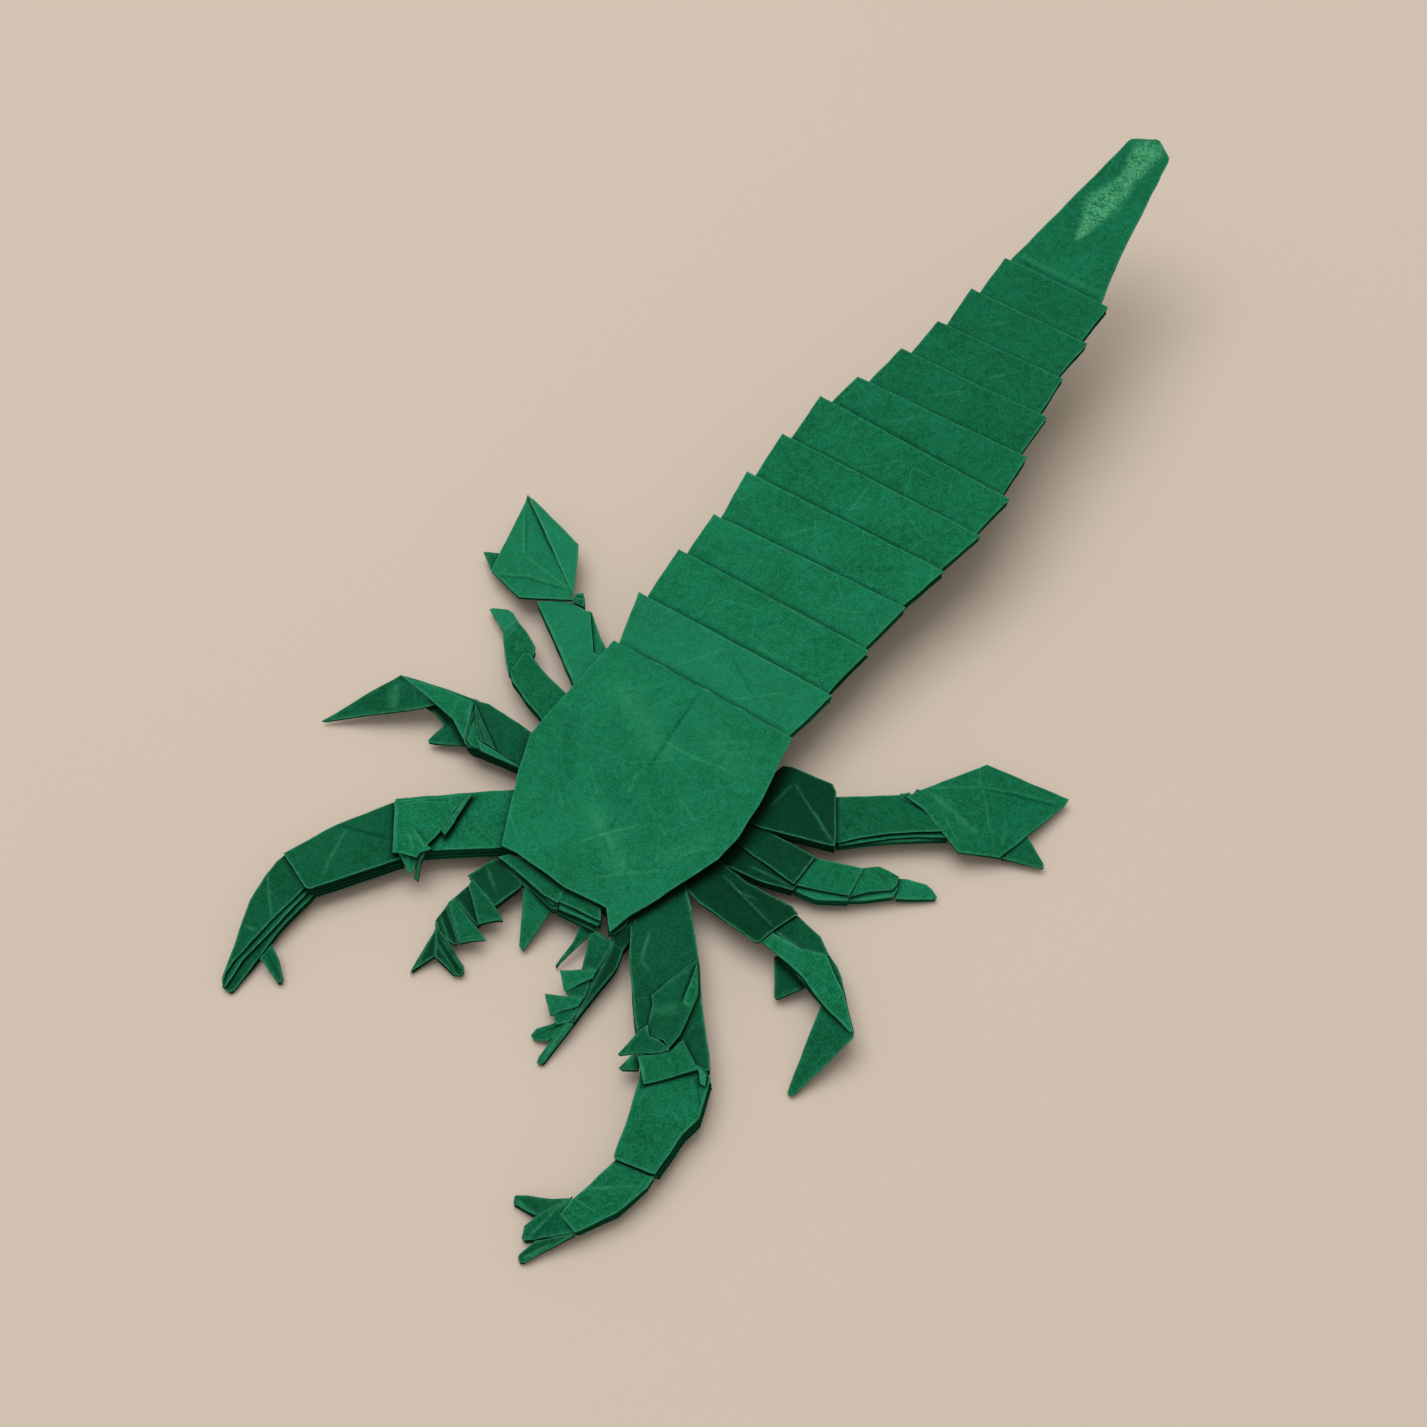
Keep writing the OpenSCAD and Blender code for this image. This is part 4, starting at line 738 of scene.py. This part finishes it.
panel("right_paddle_leg", [(23.5, 9.2, 3.8), (32.6, 16.5, 3.8), (41.5, 13.1, 3.8), (37.4, 10.5, 3.8),
    (34.6, 8.2, 3.8), (31.2, 4.8, 3.8), (29.1, 2.6, 3.8)], layers=1, thick=0.35)
panel("right_paddle_leg", [(23.3, 9.5, 3.3), (32.5, 16.7, 3.3), (41.5, 13.1, 3.3), (37.7, 10.2, 3.3),
    (34.8, 7.9, 3.3), (31.2, 4.8, 3.3), (28.8, 2.4, 3.3)], layers=3, thick=0.35, tone=0.6)
panel("right_paddle_leg", [(31.6, 14.8, 4.5), (31.7, 15.5, 4.5), (33.3, 16.4, 4.5), (33.2, 17.6, 4.4),
    (34.2, 17.9, 4.4), (34.9, 15.8, 4.4), (33.7, 14.8, 4.5)], layers=3, thick=0.35, tone=-0.35)
panel("right_paddle", [(32.8, 15.1, 4.9), (33.6, 16.9, 4.8), (39.4, 27.8, 4), (48.9, 29.7, 2.8),
    (52.1, 31, 1.5), (52.2, 29.6, 1.6), (50.4, 20.8, 2.4), (49, 15.2, 2.4), (47.7, 14.5, 2.6),
    (43.9, 11.8, 3.6), (41.7, 12.6, 4), (36, 14.8, 4.7)], inner=[(41.8, 21.1, 5.5), (46.4, 16.5, 4.1)],
    folds=[(0, 12), (12, 4), (2, 12), (12, 13), (13, 8)], creases=[(34.2, 18.1, 41, 22.7, 0.12),
    (41.4, 22.5, 52.2, 29, -0.14), (41.2, 22.8, 51, 28.9, 0.08), (38.9, 26.5, 41.1, 22.7, 0.08),
    (41.6, 22.6, 46.2, 17.1, 0.1), (35, 17.8, 45.3, 15.7, 0.08, 0.5), (38.4, 16.1, 43.3, 12.8, 0.06),
    (45.3, 19.4, 47.8, 15.2, 0.05), (47.5, 19.5, 48.5, 16.8, 0.06), (46.2, 27, 48.2, 26.6, 0.05)],
    tone=-0.15)
panel("right_paddle", [(48.9, 15.5, 1.9), (50.1, 20.4, 2.1), (50.4, 21.1, 2), (54.6, 18.7, 1.5),
    (54.9, 18.2, 1.3), (54.6, 17.7, 1.3), (51, 16.4, 1.7)], thick=0.35, tone=-0.4)


# Paper
# Colours, from those of the flat paper to the painted shade that covers them
PATCH_DARK, PATCH_LIGHT = (0.0042, 0.112, 0.045, 1), (0.0062, 0.164, 0.072, 1)
CLUMP_DARK, CLUMP_LIGHT = (0.0008, 0.078, 0.030, 1), (0.0095, 0.205, 0.100, 1)
GRAIN_DARK, GRAIN_LIGHT = (0.0008, 0.070, 0.026, 1), (0.0125, 0.250, 0.130, 1)
FIBRE, WRINKLE = (0.014, 0.255, 0.135, 1), (0.022, 0.290, 0.155, 1)
# Painted shade and painted light of the facets
FACET_PAINTED_SHADE, FACET_PAINTED_LIGHT = (0.0006, 0.024, 0.009, 1), (0.015, 0.240, 0.122, 1)
# Worn pale edges and creases, partly painted highlight, and painted shade in sunk creases
WORN_AND_HIGHLIGHT, CREASE_PAINTED_SHADE = (0.050, 0.330, 0.185, 1), (0.0006, 0.022, 0.009, 1)
# Rubbed pale patch, and painted shade in gaps and crevices
RUBBED_PALE, GAP_PAINTED_SHADE = (0.085, 0.400, 0.195, 1), (0.0003, 0.010, 0.004, 1)


def add(tree, kind, **values):
    node = tree.nodes.new(kind)
    for key, value in values.items():
        setattr(node, key, value)
    return node


def put(tree, slot, value):
    if isinstance(value, bpy.types.NodeSocket):
        tree.links.new(value, slot)
    else:
        slot.default_value = value


def attribute(tree, name):
    return add(tree, "ShaderNodeAttribute", attribute_name=name).outputs["Fac"]


def noise_at(tree, vector, scale, detail, rough, distort):
    node = add(tree, "ShaderNodeTexNoise")
    names = ("Vector", "Scale", "Detail", "Roughness", "Distortion")
    for slot, v in zip(names, (vector, scale, detail, rough, distort)):
        put(tree, node.inputs[slot], v)
    return node.outputs["Fac"]


def to_range(tree, value, low, high, new_low, new_high):
    node = add(tree, "ShaderNodeMapRange", clamp=True)
    names = ("Value", "From Min", "From Max", "To Min", "To Max")
    for slot, v in zip(names, (value, low, high, new_low, new_high)):
        put(tree, node.inputs[slot], v)
    return node.outputs["Result"]


def creases_at(tree, vector, scale, width):
    """Thin straight lines, the borders of scattered cells."""
    node = add(tree, "ShaderNodeTexVoronoi", voronoi_dimensions="2D", feature="DISTANCE_TO_EDGE")
    node.inputs["Scale"].default_value = scale
    tree.links.new(vector, node.inputs["Vector"])
    return to_range(tree, node.outputs["Distance"], 0.0, width, 1.0, 0.0)


def calc(tree, operation, a, b):
    node = add(tree, "ShaderNodeMath", operation=operation)
    put(tree, node.inputs[0], a)
    put(tree, node.inputs[1], b)
    return node.outputs[0]


def mixed(tree, factor, a, b):
    node = add(tree, "ShaderNodeMix", data_type="RGBA", clamp_factor=True)
    put(tree, node.inputs[0], factor)
    put(tree, node.inputs[6], a)
    put(tree, node.inputs[7], b)
    return node.outputs[2]


def paper_patterns(tree, where):
    """What is uneven in the paper, from soft patches to single fibres."""
    made = SimpleNamespace()
    made.cloud = noise_at(tree, where, 95, 3, 0.6, 0.4)  # soft patches, about 1 cm
    made.clump = noise_at(tree, where, 900, 4, 0.7, 0.5)  # fibre clumps, about 1 mm
    made.grain = noise_at(tree, where, 3500, 3, 0.65, 0.3)  # grain, about 0.3 mm
    made.hairs = noise_at(tree, where, 800, 5, 0.75, 2.0)
    some = to_range(tree, noise_at(tree, where, 160, 2, 0.5, 0.0), 0.46, 0.6, 0.0, 1.0)
    made.wrinkle = calc(tree, "MULTIPLY", creases_at(tree, where, 115, 0.016), some)
    ridge = noise_at(tree, where, 420, 2, 0.5, 1.6)  # its middle value runs along thin winding lines
    from_middle = calc(tree, "ABSOLUTE", calc(tree, "SUBTRACT", ridge, 0.5), 0.0)
    made.fibre = to_range(tree, from_middle, 0.0, 0.014, 1.0, 0.0)
    return made


def paper_colour(tree, paper, tone, wear_and_painted_shading, rub, painted_gap_shade):
    cloud, clump, grain = paper.cloud, paper.clump, paper.grain
    base = mixed(tree, to_range(tree, cloud, 0.36, 0.64, 0, 1), PATCH_DARK, PATCH_LIGHT)
    for share, colour in (
        (to_range(tree, clump, 0.46, 0.68, 0, 0.65), CLUMP_LIGHT),
        (to_range(tree, clump, 0.30, 0.47, 0.55, 0), CLUMP_DARK),
        (to_range(tree, grain, 0.50, 0.66, 0, 0.6), GRAIN_LIGHT),
        (to_range(tree, grain, 0.34, 0.49, 0.55, 0), GRAIN_DARK),
        (calc(tree, "MULTIPLY", paper.fibre, 0.16), FIBRE),
        (calc(tree, "MULTIPLY", paper.wrinkle, 0.55), WRINKLE),
        # Painted light and shade of each facet
        (to_range(tree, tone, 0, 1, 0, 0.75), FACET_PAINTED_LIGHT),
        (to_range(tree, tone, 0, -1, 0, 0.85), FACET_PAINTED_SHADE),
        # Pale worn edges and creases, partly a painted highlight; sunk creases get painted shade
        (calc(tree, "MULTIPLY", wear_and_painted_shading, to_range(tree, clump, 0.3, 0.6, 0.35, 0.8)), WORN_AND_HIGHLIGHT),
        (to_range(tree, wear_and_painted_shading, 0, -1, 0, 0.75), CREASE_PAINTED_SHADE),
        (calc(tree, "MULTIPLY", rub, to_range(tree, paper.hairs, 0.42, 0.57, 0.05, 0.85)), RUBBED_PALE),
        # Painted shade in crevices, along outlines, between inner sheets and on the belly
        (to_range(tree, painted_gap_shade, 0, 1, 0, 0.9), GAP_PAINTED_SHADE),
    ):
        base = mixed(tree, share, base, colour)
    return base


def paper_relief(tree, paper):
    bump = add(tree, "ShaderNodeBump")
    bump.inputs["Strength"].default_value = 0.45
    bump.inputs["Distance"].default_value = 0.00012
    height = calc(tree, "ADD", calc(tree, "MULTIPLY", paper.grain, 0.35), paper.clump)
    height = calc(tree, "ADD", height, calc(tree, "MULTIPLY", paper.fibre, 0.25))
    height = calc(tree, "ADD", height, calc(tree, "MULTIPLY", paper.wrinkle, 0.5))
    tree.links.new(height, bump.inputs["Height"])
    return bump.outputs["Normal"]


def paper_material():
    mat = bpy.data.materials.new("emerald_fibre_paper")
    mat.use_nodes = True
    tree = mat.node_tree
    tree.nodes.clear()
    tone, wear_and_painted_shading, rub, painted_gap_shade = (attribute(tree, n) for n in ("tone", "wear_and_painted_shading", "rub", "painted_gap_shade"))
    moved = add(tree, "ShaderNodeVectorMath", operation="ADD")  # each tone shows another part of the paper
    tree.links.new(add(tree, "ShaderNodeTexCoord").outputs["Object"], moved.inputs[0])
    tree.links.new(calc(tree, "MULTIPLY", tone, 0.37), moved.inputs[1])
    paper = paper_patterns(tree, moved.outputs[0])
    skin = add(tree, "ShaderNodeBsdfPrincipled")
    skin.inputs["Specular IOR Level"].default_value = 0.03
    tree.links.new(paper_colour(tree, paper, tone, wear_and_painted_shading, rub, painted_gap_shade), skin.inputs["Base Color"])
    tree.links.new(to_range(tree, paper.clump, 0.3, 0.7, 0.72, 0.58), skin.inputs["Roughness"])
    tree.links.new(paper_relief(tree, paper), skin.inputs["Normal"])
    out = add(tree, "ShaderNodeOutputMaterial")
    tree.links.new(skin.outputs[0], out.inputs["Surface"])
    return mat


# Pieces
def build_piece(name, sheets, material):
    """Joins the sheets of a piece in one mesh that carries their shades."""
    mesh = bpy.data.meshes.new(name)
    faces, start = [], 0
    for verts, sheet_faces, _ in sheets:
        faces += [tuple(i + start for i in face) for face in sheet_faces]
        start += len(verts)
    mesh.from_pydata((np.vstack([s[0] for s in sheets]) * MM).tolist(), [], faces)
    for key in ("wear_and_painted_shading", "tone", "rub", "painted_gap_shade"):
        values = np.concatenate([shades[key] for _, _, shades in sheets]).astype(np.float32)
        mesh.attributes.new(key, "FLOAT", "POINT").data.foreach_set("value", values)
    mesh.polygons.foreach_set("use_smooth", [True] * len(mesh.polygons))
    mesh.materials.append(material)
    mesh.validate()
    piece = bpy.data.objects.new(name, mesh)
    bpy.context.collection.objects.link(piece)
    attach(piece, "root")
    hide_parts("folded_sheet")


for number, pack in enumerate(packs, 1):
    build_pack(number, pack)
paper_look = paper_material()
for name, sheets in meshes.items():
    build_piece(name, sheets, paper_look)

# Table, light and camera, in metres
TABLE_HALF = 3
MIDDLE = (0, 0.03, 0)  # what the lamps point at
CAMERA_AT, CAMERA_AIM, LENS, SENSOR = (0.1086, -0.1429, 0.24625), (-0.00172, 0.01466, 0), 50.46, 36


def floor_material():
    mat = bpy.data.materials.new("pale_table")
    mat.use_nodes = True
    skin = mat.node_tree.nodes["Principled BSDF"]
    skin.inputs["Base Color"].default_value = (0.60, 0.52, 0.452, 1)
    skin.inputs["Roughness"].default_value = 0.75
    skin.inputs["Specular IOR Level"].default_value = 0.2
    return mat


def looking(obj, spot, target):
    obj.location = spot
    obj.rotation_mode = "QUATERNION"
    obj.rotation_quaternion = (Vector(target) - Vector(spot)).to_track_quat("-Z", "Y")


def area_light(name, spot, size, watts, colour):
    data = bpy.data.lights.new(name, "AREA")
    data.shape, data.size, data.energy, data.color = "DISK", size, watts, colour
    lamp = bpy.data.objects.new(name, data)
    bpy.context.collection.objects.link(lamp)
    looking(lamp, spot, MIDDLE)


plane = bpy.data.meshes.new("table")
corners = [(x * TABLE_HALF, y * TABLE_HALF, 0) for x, y in ((-1, -1), (1, -1), (1, 1), (-1, 1))]
plane.from_pydata(corners, [], [(0, 1, 2, 3)])
plane.materials.append(floor_material())
table = bpy.data.objects.new("table", plane)
bpy.context.collection.objects.link(table)

area_light("window", (-0.38, 0.14, 1.4), 1.5, 15.7, (1.0, 0.99, 0.97))
area_light("room", (0.5, -0.7, 1.3), 1.2, 1.5, (0.97, 0.985, 1.0))

world = bpy.data.worlds.new("room")
world.use_nodes = True
sky = world.node_tree.nodes["Background"]
sky.inputs["Color"].default_value = (1.0, 0.92, 0.80, 1)
sky.inputs["Strength"].default_value = 0.455
bpy.context.scene.world = world

camera = bpy.data.objects.new("camera", bpy.data.cameras.new("camera"))
camera.data.sensor_width = SENSOR
camera.data.lens = LENS
camera.data.clip_start, camera.data.clip_end = 0.01, 10
bpy.context.collection.objects.link(camera)
looking(camera, CAMERA_AT, CAMERA_AIM)
bpy.context.scene.camera = camera

look = bpy.context.scene.view_settings
look.view_transform = "Standard"
look.look = "None"
look.exposure = 0.0
